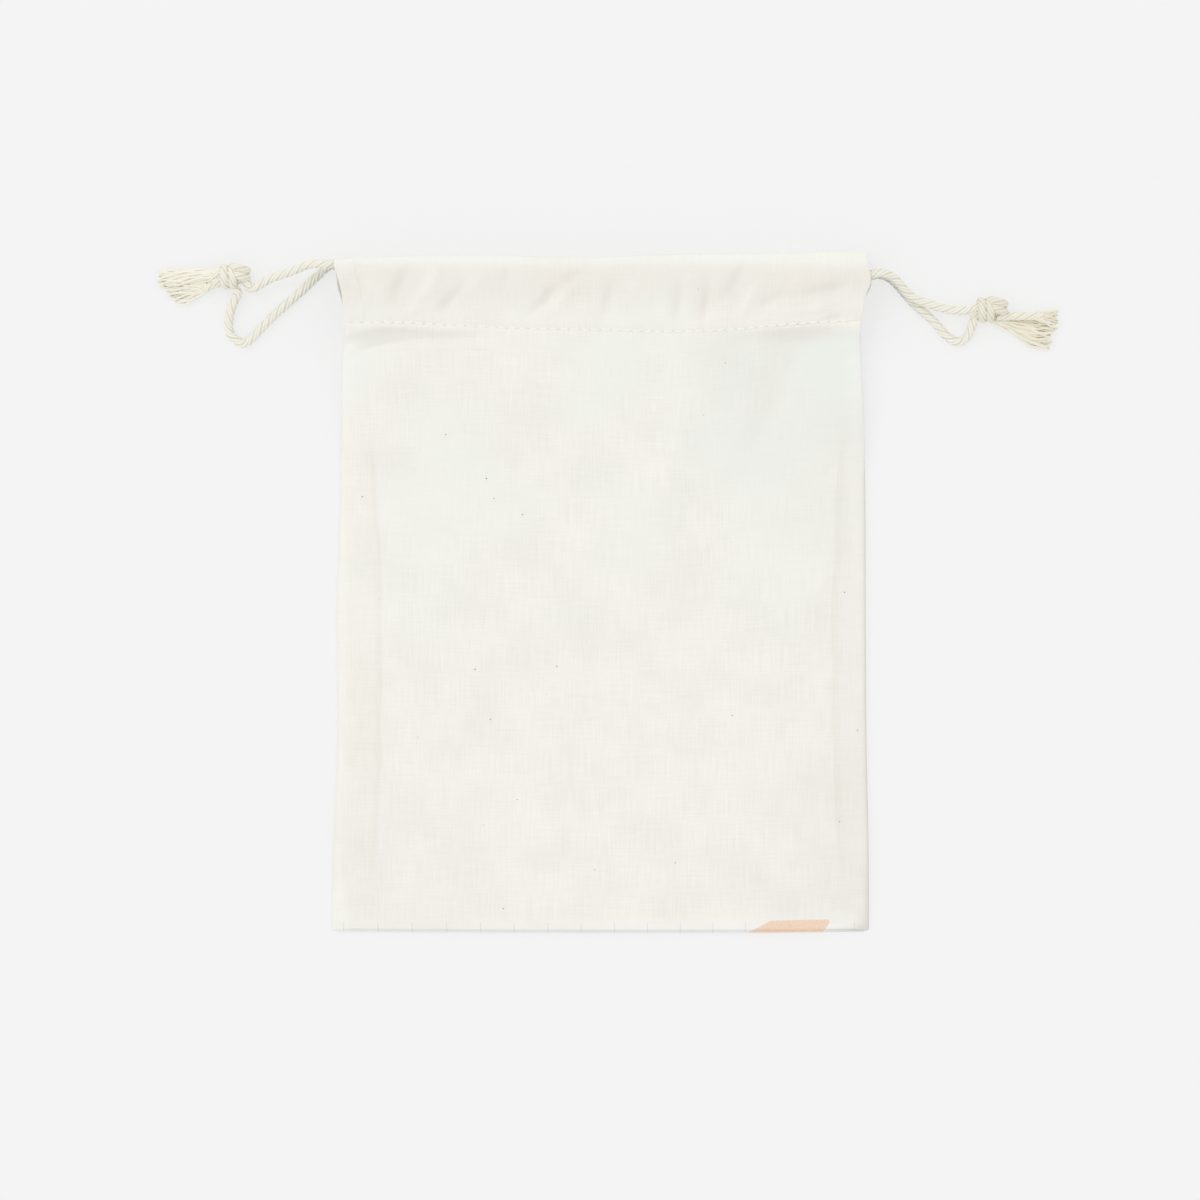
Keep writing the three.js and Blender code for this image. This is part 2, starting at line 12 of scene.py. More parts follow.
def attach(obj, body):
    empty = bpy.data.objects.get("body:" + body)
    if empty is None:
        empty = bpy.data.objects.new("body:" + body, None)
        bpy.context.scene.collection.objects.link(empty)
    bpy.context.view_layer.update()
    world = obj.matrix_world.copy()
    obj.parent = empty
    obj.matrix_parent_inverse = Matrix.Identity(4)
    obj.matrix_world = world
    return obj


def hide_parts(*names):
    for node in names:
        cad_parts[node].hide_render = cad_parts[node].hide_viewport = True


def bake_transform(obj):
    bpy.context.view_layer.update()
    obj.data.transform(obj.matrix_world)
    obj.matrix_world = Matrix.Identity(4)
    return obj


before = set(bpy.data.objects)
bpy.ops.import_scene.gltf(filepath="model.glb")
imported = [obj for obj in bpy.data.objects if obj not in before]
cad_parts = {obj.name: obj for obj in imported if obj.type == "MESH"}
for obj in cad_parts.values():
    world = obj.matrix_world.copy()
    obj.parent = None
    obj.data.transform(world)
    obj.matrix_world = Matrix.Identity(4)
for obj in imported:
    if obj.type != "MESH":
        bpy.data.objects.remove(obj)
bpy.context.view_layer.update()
scene = bpy.context.scene
scene.view_settings.view_transform = "Standard"

# Camera
# Straight above the pouch and a little below its middle. The photograph is 1200 px wide and takes
# in 360 mm of table, which is 0.30 mm a pixel.
eye_height = 2.0
table_across = 0.36
camera_data = bpy.data.cameras.new("overhead_camera")
camera_data.sensor_width = 36
camera_data.lens = camera_data.sensor_width * eye_height / table_across
overhead_camera = bpy.data.objects.new("overhead_camera", camera_data)
overhead_camera.location = (-0.00018, -0.0018, eye_height)
scene.collection.objects.link(overhead_camera)
scene.camera = overhead_camera


# Pouch cloth, made up as one cut
# One length of thin unbleached plain weave, 0.4 mm thick. It is folded at the bottom, sewn up both
# sides, and its two mouth edges are turned in over the cords and stitched down as casings. It is
# made in a left and a right half that meet on the middle line.
cloth_thickness = 0.0004
casing_thickness = 0.0046
lining_z = 0.0092
fold_radius = casing_thickness / 2
stitched_z = 0.0100
panel_z = 0.0097
bottom_radius = 0.0009
edge_radius = 0.00045
corner_radius = 0.0014
lining_columns = 79
side_names = {-1: "left", 1: "right"}
deep_fold = 0.0005


def through(points):
    """A smooth function through a few (place, value) points, level past its ends."""
    places = np.array([place for place, _ in points], float)
    values = np.array([value for _, value in points], float)
    slopes = np.gradient(values, places)

    def curve(place):
        place = np.clip(np.asarray(place, float), places[0], places[-1])
        left = np.clip(np.searchsorted(places, place) - 1, 0, len(places) - 2)
        width = places[left + 1] - places[left]
        t = (place - places[left]) / width
        start = (1 + 2 * t) * (1 - t) ** 2 * values[left] + t * (1 - t) ** 2 * width * slopes[left]
        end = t * t * (3 - 2 * t) * values[left + 1] - t * t * (1 - t) * width * slopes[left + 1]
        return start + end

    return curve


def smooth_step(value, low, high):
    t = np.clip((value - low) / (high - low), 0, 1)
    return t * t * (3 - 2 * t)


# The outline that the photograph shows: each side's half width up the pouch, and the line of the
# mouth, of the stitches and of the bottom fold across it
half_width = {
    -1: through([
        (-0.1015, 0.0806), (-0.077, 0.0802), (-0.047, 0.0790), (-0.0018, 0.0790), (0.028, 0.0782),
        (0.049, 0.0776), (0.070, 0.0772), (0.077, 0.0767), (0.082, 0.0764), (0.086, 0.0768),
        (0.0905, 0.0774), (0.093, 0.0780), (0.096, 0.0788), (0.0985, 0.0795), (0.1015, 0.0793),
    ]),
    1: through([
        (-0.1015, 0.0805), (-0.077, 0.0804), (-0.047, 0.0798), (-0.0018, 0.0795), (0.028, 0.0794),
        (0.055, 0.0789), (0.072, 0.0780), (0.080, 0.0778), (0.0845, 0.0785), (0.0885, 0.0792),
        (0.0915, 0.0804), (0.098, 0.0799), (0.1025, 0.0788),
    ]),
}
mouth_line = through([
    (-0.0788, 0.1003), (-0.0422, 0.1011), (0, 0.1006), (0.0178, 0.1013), (0.0478, 0.1016),
    (0.0748, 0.1023), (0.080, 0.1022),
])
stitch_line = through([
    (-0.0752, 0.0812), (-0.0557, 0.0809), (-0.0362, 0.0798), (-0.0032, 0.0789), (0.0268, 0.0784),
    (0.0418, 0.0791), (0.0538, 0.0803), (0.0778, 0.0818),
])
bottom_line = through([
    (-0.080, -0.1012), (-0.0342, -0.1015), (0.018, -0.1016), (0.055, -0.1015), (0.0775, -0.1012),
])


def edge_x(side, y):
    """Each side's half width, with the bottom corners rounded off."""
    above = np.clip(np.asarray(y, float) - (bottom_line(side * 0.079) + 0.0001), 0, corner_radius)
    cut_off = corner_radius - np.sqrt(np.maximum(corner_radius**2 - (corner_radius - above) ** 2, 0))
    return half_width[side](y) - cut_off


# Where the back casing shows past the front one at each slit: its middle up the pouch, its half
# length and its width
slit_shows = {-1: (0.0915, 0.0050, 0.0011), 1: (0.0925, 0.0045, 0.0006)}

# Soft folds, placed one by one, some where the photograph shows one and others freely: x, y, lean from +X
# in degrees, half length, half width, height
casing_folds = [
    (-0.0722, 0.0985, 76, 0.0032, 0.0009, -0.00045),
    (0.0700, 0.0830, 8, 0.0060, 0.0011, -0.00070),
    (-0.0690, 0.0900, 80, 0.0070, 0.0022, 0.00037),
    (-0.0600, 0.0930, 62, 0.0075, 0.0022, -0.00068),
    (-0.0530, 0.0900, 60, 0.0070, 0.0020, 0.00051),
    (-0.0445, 0.0885, 42, 0.0070, 0.0018, -0.00058),
    (-0.0380, 0.0925, 50, 0.0060, 0.0020, 0.00044),
    (-0.0290, 0.0945, 70, 0.0050, 0.0018, -0.00034),
    (-0.0175, 0.0875, 48, 0.0070, 0.0016, -0.00068),
    (-0.0120, 0.0880, 52, 0.0075, 0.0016, 0.00058),
    (-0.0080, 0.0945, 50, 0.0060, 0.0018, -0.00061),
    (0.0015, 0.0880, 78, 0.0070, 0.0018, -0.00054),
    (0.0090, 0.0900, 66, 0.0070, 0.0020, 0.00044),
    (0.0225, 0.0870, 82, 0.0065, 0.0014, -0.00051),
    (0.0270, 0.0860, 84, 0.0060, 0.0014, 0.00044),
    (0.0310, 0.0865, 80, 0.0070, 0.0015, -0.00061),
    (0.0385, 0.0920, 62, 0.0070, 0.0018, -0.00058),
    (0.0440, 0.0880, 58, 0.0065, 0.0018, 0.00051),
    (0.0520, 0.0890, 40, 0.0070, 0.0018, -0.00044),
    (0.0640, 0.0905, 12, 0.0110, 0.0020, -0.00058),
    (0.0660, 0.0860, 14, 0.0090, 0.0016, 0.00034),
]
panel_folds = [
    (-0.0640, 0.0772, 2, 0.0120, 0.0026, -0.00112),
    (-0.0610, 0.0745, 6, 0.0120, 0.0013, 0.00020),
    (-0.0690, 0.0740, 14, 0.0060, 0.0012, -0.00050),
    (-0.0450, 0.0772, 1, 0.0090, 0.0016, -0.00060),
    (0.0600, 0.0774, 4, 0.0170, 0.0032, -0.00076),
    (0.0560, 0.0750, 8, 0.0150, 0.0016, 0.00018),
    (0.0500, 0.0600, 68, 0.0240, 0.0060, -0.00045),
    (0.0210, 0.0500, 80, 0.0300, 0.0070, 0.00030),
    (-0.0200, 0.0560, 100, 0.0260, 0.0060, -0.00025),
    (-0.0480, 0.0350, 84, 0.0300, 0.0065, 0.00028),
    (0.0080, -0.0150, 20, 0.0400, 0.0080, -0.00025),
    (-0.0380, -0.0420, 60, 0.0300, 0.0080, -0.00030),
    (0.0440, -0.0480, 118, 0.0320, 0.0080, 0.00030),
    (-0.0060, -0.0790, 8, 0.0360, 0.0060, -0.00022),
]


def fold_height(folds, x, y):
    """The sum of soft ridges and hollows at x, y."""
    height = np.zeros_like(x)
    for middle_x, middle_y, lean, length, width, rise in folds:
        turn = math.radians(lean)
        along = (x - middle_x) * math.cos(turn) + (y - middle_y) * math.sin(turn)
        across = (y - middle_y) * math.cos(turn) - (x - middle_x) * math.sin(turn)
        height += rise * np.exp(-((along / length) ** 2) - (across / width) ** 2)
    return height


def rippled(x, y, size, seed):
    """Even, smooth unevenness of a given size, from -1 to 1."""
    flat = np.stack([x.ravel() / size, y.ravel() / size], axis=1)
    values = [noise.noise((place[0], place[1], seed)) for place in flat]
    return np.array(values).reshape(x.shape)


def seam_lift(y):
    """How far the top end of a side seam is pulled up off the table, where the slit begins."""
    return smooth_step(y, 0.030, 0.0745) * (1 - smooth_step(y, 0.0760, 0.0800))


def pillow(share, power):
    """The rise of a filled bag from its seam, 0, to full, 1: steep at first and then nearly level."""
    return (1 - (1 - np.clip(share, 0, 1)) ** power) ** (1 / power)


def front_height(x, y, side):
    """The outer face of the front cloth below the stitches: a low pillow, with steeper sides higher up."""
    half = half_width[side](y)
    inward = half - np.abs(x)
    crown = 2.4 + 6.6 * smooth_step(y, 0.0337, 0.0787)
    seam_z = 2 * edge_radius
    edge_z = seam_z + 0.0040 * seam_lift(y) + (stitched_z - seam_z) * smooth_step(y, 0.0742, 0.0806)
    full = panel_z + (stitched_z - panel_z) * smooth_step(y, 0.030, 0.0790)
    full = full - 0.0004 * np.exp(-((x / 0.05) ** 2) - ((y - 0.01) / 0.05) ** 2)
    height = edge_z + (full - edge_z) * pillow(inward / half, crown)
    fold_z = 2 * fold_radius_at(x, side)
    height = fold_z + (height - fold_z) * pillow((y - bottom_line(x)) / 0.036, 2.2)
    loose = smooth_step(inward, 0.0010, 0.0100) * smooth_step(y, -0.1000, -0.0880)
    held = 1 - 0.8 * smooth_step(y, stitch_line(x) - 0.0026, stitch_line(x))
    uneven = 0.00034 * rippled(x, y, 0.040, 3.1) + 0.00010 * rippled(x, y, 0.012, 7.7)
    pucker = 0.00009 * np.sin(2 * math.pi * y / 0.0052 + 3 * rippled(x, y, 0.02, 1.3))
    pucker *= smooth_step(inward, 0.0006, 0.0022) * (1 - smooth_step(inward, 0.0030, 0.0090))
    turnings_edge = seam_turnings_x[side]
    turnings = 0.00012 * (1 - smooth_step(np.abs(x), turnings_edge - 0.0012, turnings_edge + 0.0004))
    turnings *= smooth_step(y, -0.0960, -0.0900) * (1 - smooth_step(y, 0.045, 0.065))
    gathered = stitch_pucker(x, y)
    return height + loose * held * (fold_height(panel_folds, x, y) + uneven) + pucker - turnings + gathered


def back_height(x, y, side):
    """The under face of the back cloth: flat on the table, lifted with the seams near the slits."""
    inward = half_width[side](y) - np.abs(x)
    groove = 0.00030 * np.exp(-(((y - stitch_line(x)) / 0.0008) ** 2))
    return 0.0040 * seam_lift(y) * (1 - smooth_step(inward, 0, 0.0085)) + groove


def fold_radius_at(x, side):
    """The bottom fold is rounder in its middle than at its ends, where the seams hold it flat."""
    inward = half_width[side](-0.1) - np.abs(x)
    return edge_radius + (bottom_radius - edge_radius) * smooth_step(inward, 0, 0.008)


# The raw edges of the side seams' turnings, which show through the front as faint lines, with painted shade
# along them
seam_turnings_x = {-1: 0.0664, 1: 0.0702}
stitch_pitch = 0.0031


def stitch_pucker(x, y):
    """The stitches pull the cloth down along their row, a little more at each needle hole."""
    away = y - stitch_line(x)
    groove = -0.00016 * np.exp(-((away / 0.0009) ** 2))
    pinch = -0.00008 * np.cos(2 * math.pi * x / stitch_pitch) * np.exp(-((away / 0.0014) ** 2))
    return groove + pinch


def casing_creases(x, y):
    """The folds of the front casing and its faint upright pleats."""
    return fold_height(casing_folds, x, y) + 0.00034 * rippled(x, y / 4, 0.0042, 2.6)


def casing_height(x, y):
    """The outer face of the front casing: arched over the cords, from the stitches to the fold."""
    low = stitch_line(x)
    share = np.clip((y - low) / (mouth_line(x) - fold_radius - low), 0, 1)
    arch = 1 - (1 - share) ** 2.1
    soft = smooth_step(share, 0.04, 0.22) * (1 - 0.75 * smooth_step(share, 0.70, 1.0))
    uneven = 0.00024 * rippled(x, y, 0.011, 5.9)
    loose = soft * (casing_creases(x, y) + uneven)
    top = lining_z + casing_thickness
    return stitched_z + (top - stitched_z) * arch + loose + stitch_pucker(x, y)


def hem_ridge(x, y, side):
    """The doubled cloth of a slit hem stands a little prouder for 6 mm from the slit."""
    inward = half_width[side](y) - np.abs(x)
    return 0.00026 * (1 - smooth_step(inward, 0.0056, 0.0062))


def cloth_rows():
    """The stretches of the cut, from the front lining's raw edge, over the mouth, down the front, round
    the bottom and up the back to the back lining's raw edge, as (stretch, share of it)."""
    stretches = [
        ("front_lining", 17, 1.0, 1.0), ("front_fold", 10, 1.0, 1.0), ("front_casing", 40, 1.0, 1.7),
        ("front_panel", 176, 1.3, 1.5), ("bottom_fold", 6, 1.0, 1.0), ("back_panel", 84, 1.0, 1.6),
        ("back_casing", 22, 1.6, 1.0), ("back_fold", 8, 1.0, 1.0), ("back_lining", 15, 1.0, 1.0),
    ]
    rows = []
    for name, count, closer_first, closer_last in stretches:
        for step in range(count):
            share = (step / count) ** closer_first
            rows.append((name, 1 - (1 - share) ** closer_last))
    return rows + [("back_lining", 1.0)]


def cloth_point(stretch, share, x, side):
    """Where a row of the cut lies at x: its y and z, and the outward direction there in y and z."""
    fold_y = mouth_line(x) - fold_radius
    edge_y = stitch_line(x) - 0.0011
    radius = fold_radius_at(x, side)
    bottom_y = bottom_line(x) + radius
    flat = np.zeros_like(x)
    if stretch == "front_lining":
        y = edge_y + share * (fold_y - edge_y)
        sag = 0.00025 * rippled(x, y, 0.014, 8.8) * math.sin(math.pi * share)
        return y, lining_z + np.maximum(sag, -0.00005), flat, flat - 1
    if stretch == "front_fold" or stretch == "back_fold":
        angle = math.pi * (share - 0.5)
        middle_z = lining_z + fold_radius if stretch == "front_fold" else fold_radius
        y = fold_y + fold_radius * math.cos(angle)
        z = middle_z + fold_radius * math.sin(angle) + flat
        if stretch == "front_fold":
            z = z + hem_ridge(x, y, side) * max(0.0, math.sin(angle))
        return y, z, flat + math.cos(angle), flat + math.sin(angle)
    if stretch == "front_casing":
        y = fold_y + share * (stitch_line(x) - fold_y)
        return y, casing_height(x, y) + hem_ridge(x, y, side), flat, flat + 1
    if stretch == "front_panel":
        y = stitch_line(x) + share * (bottom_y - stitch_line(x))
        return y, front_height(x, y, side), flat, flat + 1
    if stretch == "bottom_fold":
        angle = math.pi * (0.5 - share)
        y = bottom_y - radius * math.cos(angle)
        z = radius + radius * math.sin(angle)
        return y, z, flat - math.cos(angle), flat + math.sin(angle)
    if stretch == "back_panel":
        y = bottom_y + share * (stitch_line(x) - bottom_y)
        return y, back_height(x, y, side), flat, flat - 1
    if stretch == "back_casing":
        y = stitch_line(x) + share * (fold_y - stitch_line(x))
        return y, back_height(x, y, side), flat, flat - 1
    y = fold_y + share * (edge_y - fold_y)
    slope = smooth_step(edge_y + 0.0104 - y, 0, 0.0080)
    return y, casing_thickness - (casing_thickness - 2 * cloth_thickness) * slope, flat, flat + 1


def sheet_grid(bm, points, marks):
    """A sheet through rows and columns of points. marks holds what each vertex keeps, by name."""
    rows, columns = points.shape[:2]
    layers = {name: bm.verts.layers.float_vector.new(name) for name in marks}
    grid = bmesh.ops.create_grid(bm, x_segments=rows - 1, y_segments=columns - 1, size=0.5)["verts"]
    for vertex in grid:
        row = round((vertex.co.x + 0.5) * (rows - 1))
        column = round((vertex.co.y + 0.5) * (columns - 1))
        vertex.co = points[row, column]
        for name, layer in layers.items():
            vertex[layer] = marks[name][row, column]
    return grid


def solid_sheet(points, marks, outward):
    """A sheet of the cloth's thickness, whose outer face lies on the points and looks outward."""
    bm = bmesh.new()
    sheet_grid(bm, points, marks)
    bmesh.ops.recalc_face_normals(bm, faces=bm.faces)
    bm.faces.ensure_lookup_table()
    if bm.faces[0].normal.dot(Vector(outward)) < 0:
        bmesh.ops.reverse_faces(bm, faces=bm.faces)
    bmesh.ops.solidify(bm, geom=bm.faces[:] + bm.edges[:] + bm.verts[:], thickness=cloth_thickness)
    return bm


def join_onto(bm, part):
    """Adds a finished part to a piece's bmesh and frees it."""
    carried = bpy.data.meshes.new("part")
    part.to_mesh(carried)
    part.free()
    bm.from_mesh(carried)
    bpy.data.meshes.remove(carried)


def finished_piece(name, bm, finish):
    """The bmesh as a smooth-shaded object with its finish, sharp where a wall's rim turns off its face."""
    for face in bm.faces:
        face.smooth = True
    for edge in bm.edges:
        edge.smooth = edge.calc_face_angle(0) < math.radians(50)
    mesh = bpy.data.meshes.new(name)
    bm.to_mesh(mesh)
    bm.free()
    mesh.materials.append(finish)
    piece = bpy.data.objects.new(name, mesh)
    scene.collection.objects.link(piece)
    return piece


def gather_with_cord(piece):
    """Bakes the piece's placing into its mesh."""
    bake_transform(piece)


def tone(red, green, blue):
    """A colour as it looks on a screen, 0 to 255, in the shader's own numbers."""
    shares = [channel / 255 for channel in (red, green, blue)]
    return tuple(s / 12.92 if s <= 0.04045 else ((s + 0.055) / 1.055) ** 2.4 for s in shares) + (1.0,)


class Shade:
    """A number that changes over a surface, held as a shader socket, so that sums read as sums."""

    def __init__(self, finish, socket):
        self.finish = finish
        self.socket = socket

    def maths(self, operation, *terms):
        made = self.finish.node("ShaderNodeMath", {"operation": operation}, dict(enumerate(terms)))
        return Shade(self.finish, made.outputs[0])

    def __add__(self, other):
        return self.maths("ADD", self, other)

    def __sub__(self, other):
        return self.maths("SUBTRACT", self, other)

    def __rsub__(self, other):
        return self.maths("SUBTRACT", other, self)

    def __mul__(self, other):
        return self.maths("MULTIPLY", self, other)

    def __truediv__(self, other):
        return self.maths("DIVIDE", self, other)

    def __pow__(self, other):
        return self.maths("POWER", self, other)

    def __mod__(self, other):
        return self.maths("FLOORED_MODULO", self, other)

    def __abs__(self):
        return self.maths("ABSOLUTE", self)

    __radd__ = __add__
    __rmul__ = __mul__

    def wave(self, length):
        return self.maths("SINE", self * (2 * math.pi / length))

    def rising(self, low, high):
        """0 below low and 1 above high, smooth between them."""
        ends = {"Value": self, "From Min": low, "From Max": high}
        made = self.finish.node("ShaderNodeMapRange", {"interpolation_type": "SMOOTHSTEP"}, ends)
        return Shade(self.finish, made.outputs[0])

    def falling(self, low, high):
        return 1 - self.rising(low, high)

    def above_zero(self):
        return self.maths("MAXIMUM", self, 0.0)


class Finish:
    """A cotton material: its nodes, and the sums that colour it."""

    def __init__(self, name, roughness, sheen):
        self.material = bpy.data.materials.new(name)
        self.material.use_nodes = True
        self.tree = self.material.node_tree
        self.shader = self.tree.nodes["Principled BSDF"]
        self.shader.inputs["Roughness"].default_value = roughness
        self.shader.inputs["Sheen Weight"].default_value = sheen
        self.shader.inputs["Sheen Roughness"].default_value = 0.5
        self.shader.inputs["Specular IOR Level"].default_value = 0.25

    def node(self, kind, settings=None, inputs=None):
        made = self.tree.nodes.new(kind)
        for name, value in (settings or {}).items():
            setattr(made, name, value)
        for name, value in (inputs or {}).items():
            self.feed(made.inputs[name], value)
        return made

    def feed(self, socket, value):
        if isinstance(value, Shade):
            value = value.socket
        if isinstance(value, bpy.types.NodeSocket):
            self.tree.links.new(value, socket)
        else:
            socket.default_value = value

    def kept(self, name):
        """The three numbers that each vertex keeps under this name, such as its place in the cut."""
        found = self.node("ShaderNodeAttribute", {"attribute_name": name}).outputs["Vector"]
        parts = self.node("ShaderNodeSeparateXYZ", inputs={0: found}).outputs
        return found, [Shade(self, part) for part in parts]

    def clouds(self, place, size, stretch=(1, 1, 1), detail=2.0):
        """Soft noise from 0 to 1 whose patches have this size, longer where stretch is above 1."""
        scale = tuple(1 / (size * part) for part in stretch)
        mapped = self.node("ShaderNodeMapping", inputs={"Vector": place, "Scale": scale}).outputs[0]
        made = self.node("ShaderNodeTexNoise", inputs={"Vector": mapped, "Scale": 1.0, "Detail": detail})
        return Shade(self, made.outputs["Fac"])

    def mixed(self, share, first, second):
        """One colour turning into another."""
        made = self.node("ShaderNodeMix", {"data_type": "RGBA"}, {0: share, 6: first, 7: second})
        return made.outputs[2]

    def raised(self, height, depth):
        """A bump of that depth in metres, for heights from 0 to 1."""
        bump = self.node("ShaderNodeBump", inputs={"Height": height, "Strength": 1.0, "Distance": depth})
        self.feed(self.shader.inputs["Normal"], bump.outputs[0])


def natural_cotton():
    """Unbleached muslin: a plain weave of uneven threads, the marks printed along the bottom fold, and
    the turnings of the side seams showing through. It also carries painted shade and painted light: in
    the folds, over the casing and along the walls and edges."""
    finish = Finish("natural_cotton", 0.95, 0.12)
    cut, (u, v, _) = finish.kept("cut")
    _, (x, y, z) = finish.kept("laid")
    _, (hollow, _, _) = finish.kept("hollow")

    thread = 0.00040
    drift = finish.clouds(cut, 0.0035, (1, 3, 1)) * 0.0007
    weave = (u + drift).wave(thread) * (v + drift).wave(thread) * 0.5 + 0.5
    warp_slubs = finish.clouds(cut, 0.00045, (1, 24, 1))
    weft_slubs = finish.clouds(cut, 0.00045, (24, 1, 1))
    mottle = finish.clouds(cut, 0.016, detail=3.0)
    speckle = finish.clouds(cut, 0.0007, detail=1.0)

    shade = mottle * 0.38 + warp_slubs * 0.37 + weft_slubs * 0.25
    cloth = finish.mixed(shade.rising(0.24, 0.76), tone(236, 234, 225), tone(249, 247, 240))
    cloth = finish.mixed(speckle.rising(0.60, 0.80) * 0.22, cloth, tone(230, 226, 214))
    greener = finish.clouds(cut, 0.038, detail=1.0)
    greener = greener.rising(0.40, 0.62) * y.rising(-0.040, 0.060)
    cloth = finish.mixed(greener * 0.6, cloth, tone(240, 243, 236))
    cool = x.rising(0.008, 0.040) * y.rising(0.015, 0.055) * y.falling(0.0780, 0.0790)
    cloth = finish.mixed(cool * 0.35, cloth, tone(230, 235, 231))
    # The casing is made darker and warmer from just above the stitches to near its top.
    casing_band = (y - x * x * 0.3).rising(0.0785, 0.0795)
    # Painted light: the casing just above the stitch row is lightened where it slopes away from the light.
    painted_light_beside_row = (y - x * x * 0.3).rising(0.0780, 0.0793) * y.falling(0.0825, 0.0905)
    cloth = finish.mixed(painted_light_beside_row * 0.22, cloth, tone(253, 251, 245))
    casing_band = casing_band * (y.rising(0.0810, 0.0930) * 0.19) * (1 - y.rising(0.0960, 0.1005) * 0.9)
    cloth = finish.mixed(casing_band, cloth, tone(230, 216, 202))
    # Painted highlight: the casing's rounded top is made lighter and a little greener.
    cloth = finish.mixed(y.rising(0.0950, 0.1005) * 0.45, cloth, tone(248, 250, 244))
    # Painted shade in the hollows of the folds, and painted highlight on their ridges.
    cloth = finish.mixed(hollow.rising(0.10, 1.80) * 0.34, cloth, tone(216, 210, 200))
    cloth = finish.mixed(hollow.falling(-1.60, -0.10) * 0.42, cloth, tone(254, 252, 246))
    corners = abs(x).rising(0.0300, 0.0700) * y.falling(-0.0850, -0.0250)
    cloth = finish.mixed(corners * 0.13, cloth, tone(220, 220, 215))
    # Painted light: the steep walls at the sides and along the bottom fold are lightened, less on the left,
    # against their shade.
    sides = abs(x).rising(0.0700, 0.0800) * y.falling(0.0700, 0.0800) * (y.rising(-0.080, 0.0) * 0.55 + 0.30)
    painted_light_on_walls = sides + (y.falling(-0.1010, -0.0900) - sides) * y.falling(-0.1010, -0.0900)
    painted_light_on_walls = painted_light_on_walls * (x.rising(-0.0700, 0.0300) * 0.40 + 0.60)
    cloth = finish.mixed(painted_light_on_walls * z.rising(0.0006, 0.0040) * 0.50, cloth, tone(255, 254, 250))
    # Painted shade tint: the bottom fold's wall is given the cooler grey of the shade along it.
    cloth = finish.mixed(y.falling(-0.1012, -0.1002) * 0.70, cloth, tone(240, 243, 244))
    lit_edge = (x * -1).rising(0.0740, 0.0780) * z.rising(0.0003, 0.0010) * z.falling(0.0030, 0.0050)
    cloth = finish.mixed(lit_edge * y.falling(0.0650, 0.0720) * 0.18, cloth, tone(255, 255, 252))
    # Painted shade: a dark line along the foot of the right side's wall.
    painted_shade_right_edge = z.falling(0.0010, 0.0034) * z.rising(0.0002, 0.0006) * x.rising(0.0600, 0.0760)
    cloth = finish.mixed(painted_shade_right_edge * 0.42, cloth, tone(190, 188, 178))

    spread = x + (x + 0.0770) * (x + 0.0770) * 0.288
    tick_pitch = 0.01038
    from_tick = abs((spread + 0.0770 + tick_pitch / 2) % tick_pitch - tick_pitch / 2)
    near_fold = y.falling(-0.0985, -0.0982)
    tick = from_tick.falling(0.00010, 0.00022) * near_fold * x.falling(0.0695, 0.0700)
    last_tick = abs(x - 0.0760).falling(0.00010, 0.00022) * near_fold
    cloth = finish.mixed((tick + last_tick) * 0.20, cloth, tone(166, 166, 178))

    slant = (x - 0.0443) - (y + 0.1014) * 1.80
    from_top = x * 0.022 - 0.0989 - y
    from_end = 0.0667 - x + (y + 0.1014) * 0.60
    rounded = (1 - from_top / 0.0012).above_zero() ** 2 + (1 - from_end / 0.0016).above_zero() ** 2
    patch = slant.rising(-0.0003, 0.0004) * rounded.falling(0.80, 1.20)
    ink = finish.mixed(speckle.rising(0.35, 0.75), tone(241, 212, 185), tone(246, 222, 201))
    cloth = finish.mixed(patch * 0.95, cloth, ink)

    for side, turnings_edge in seam_turnings_x.items():
        inside = x * side + (y + 0.02) * (y + 0.02) * -0.6
        inside = inside + finish.clouds(cut, 0.018, detail=1.0) * 0.0016
        # Along each turning's raw edge runs a line of painted shade; over the turnings, their show-through.
        line = inside.rising(turnings_edge - 0.0010, turnings_edge)
        line = line * inside.falling(turnings_edge, turnings_edge + 0.0030)
        under = inside.rising(turnings_edge - 0.0006, turnings_edge + 0.0002)
        on_body = z.rising(0.0010, 0.0014) * y.falling(0.0300, 0.0600) * y.rising(-0.0960, -0.0700)
        cloth = finish.mixed((line * 0.10 + under * 0.07) * on_body, cloth, tone(218, 206, 188))

    finish.feed(finish.shader.inputs["Base Color"], cloth)
    finish.raised(weave * 0.35 + warp_slubs * 0.40 + weft_slubs * 0.25, 0.00005)
    return finish.material


rows = cloth_rows()
columns = 104
edge_turns = 4


def lengths_along(route):
    """How far along a route each of its places lies."""
    return np.concatenate([[0], np.cumsum(np.linalg.norm(np.diff(route, axis=0), axis=1))])


def height_on_casing(face):
    """How high a face lies, less for one away from the middle of the casing."""
    middle = face.calc_center_median()
    return middle.z - 0.1 * abs(middle.y - 0.09)


def half_cloth(side):
    """One half of the made-up cloth, from the middle line to the seam and the slit hems."""
    share = np.linspace(0, 1, columns)
    share = 1 - (1 - share) ** 1.5
    turn = np.linspace(0, math.pi / 2, edge_turns + 1)[1:]
    points = np.zeros((len(rows), columns + edge_turns, 3))
    for index, (stretch, along) in enumerate(rows):
        middle_y = cloth_point(stretch, along, np.array([side * 0.06]), side)[0][0]
        edge = edge_x(side, middle_y) - edge_radius
        if stretch == "back_casing" or stretch == "back_lining":
            shows_y, shows_length, shows_width = slit_shows[side]
            edge += shows_width * math.exp(-(((middle_y - shows_y) / shows_length) ** 2))
        x = np.concatenate([side * share * edge, side * (edge + edge_radius * np.sin(turn))])
        y, z, out_y, out_z = cloth_point(stretch, along, x, side)
        tucked = np.concatenate([np.zeros(columns), edge_radius * (1 - np.cos(turn))])
        points[index] = np.stack([x, y - out_y * tucked, z - out_z * tucked], axis=1)
    return points


pouch_halves = {side: half_cloth(side) for side in (-1, 1)}
cut_v = lengths_along(pouch_halves[1][:, 0])
cotton = natural_cotton()

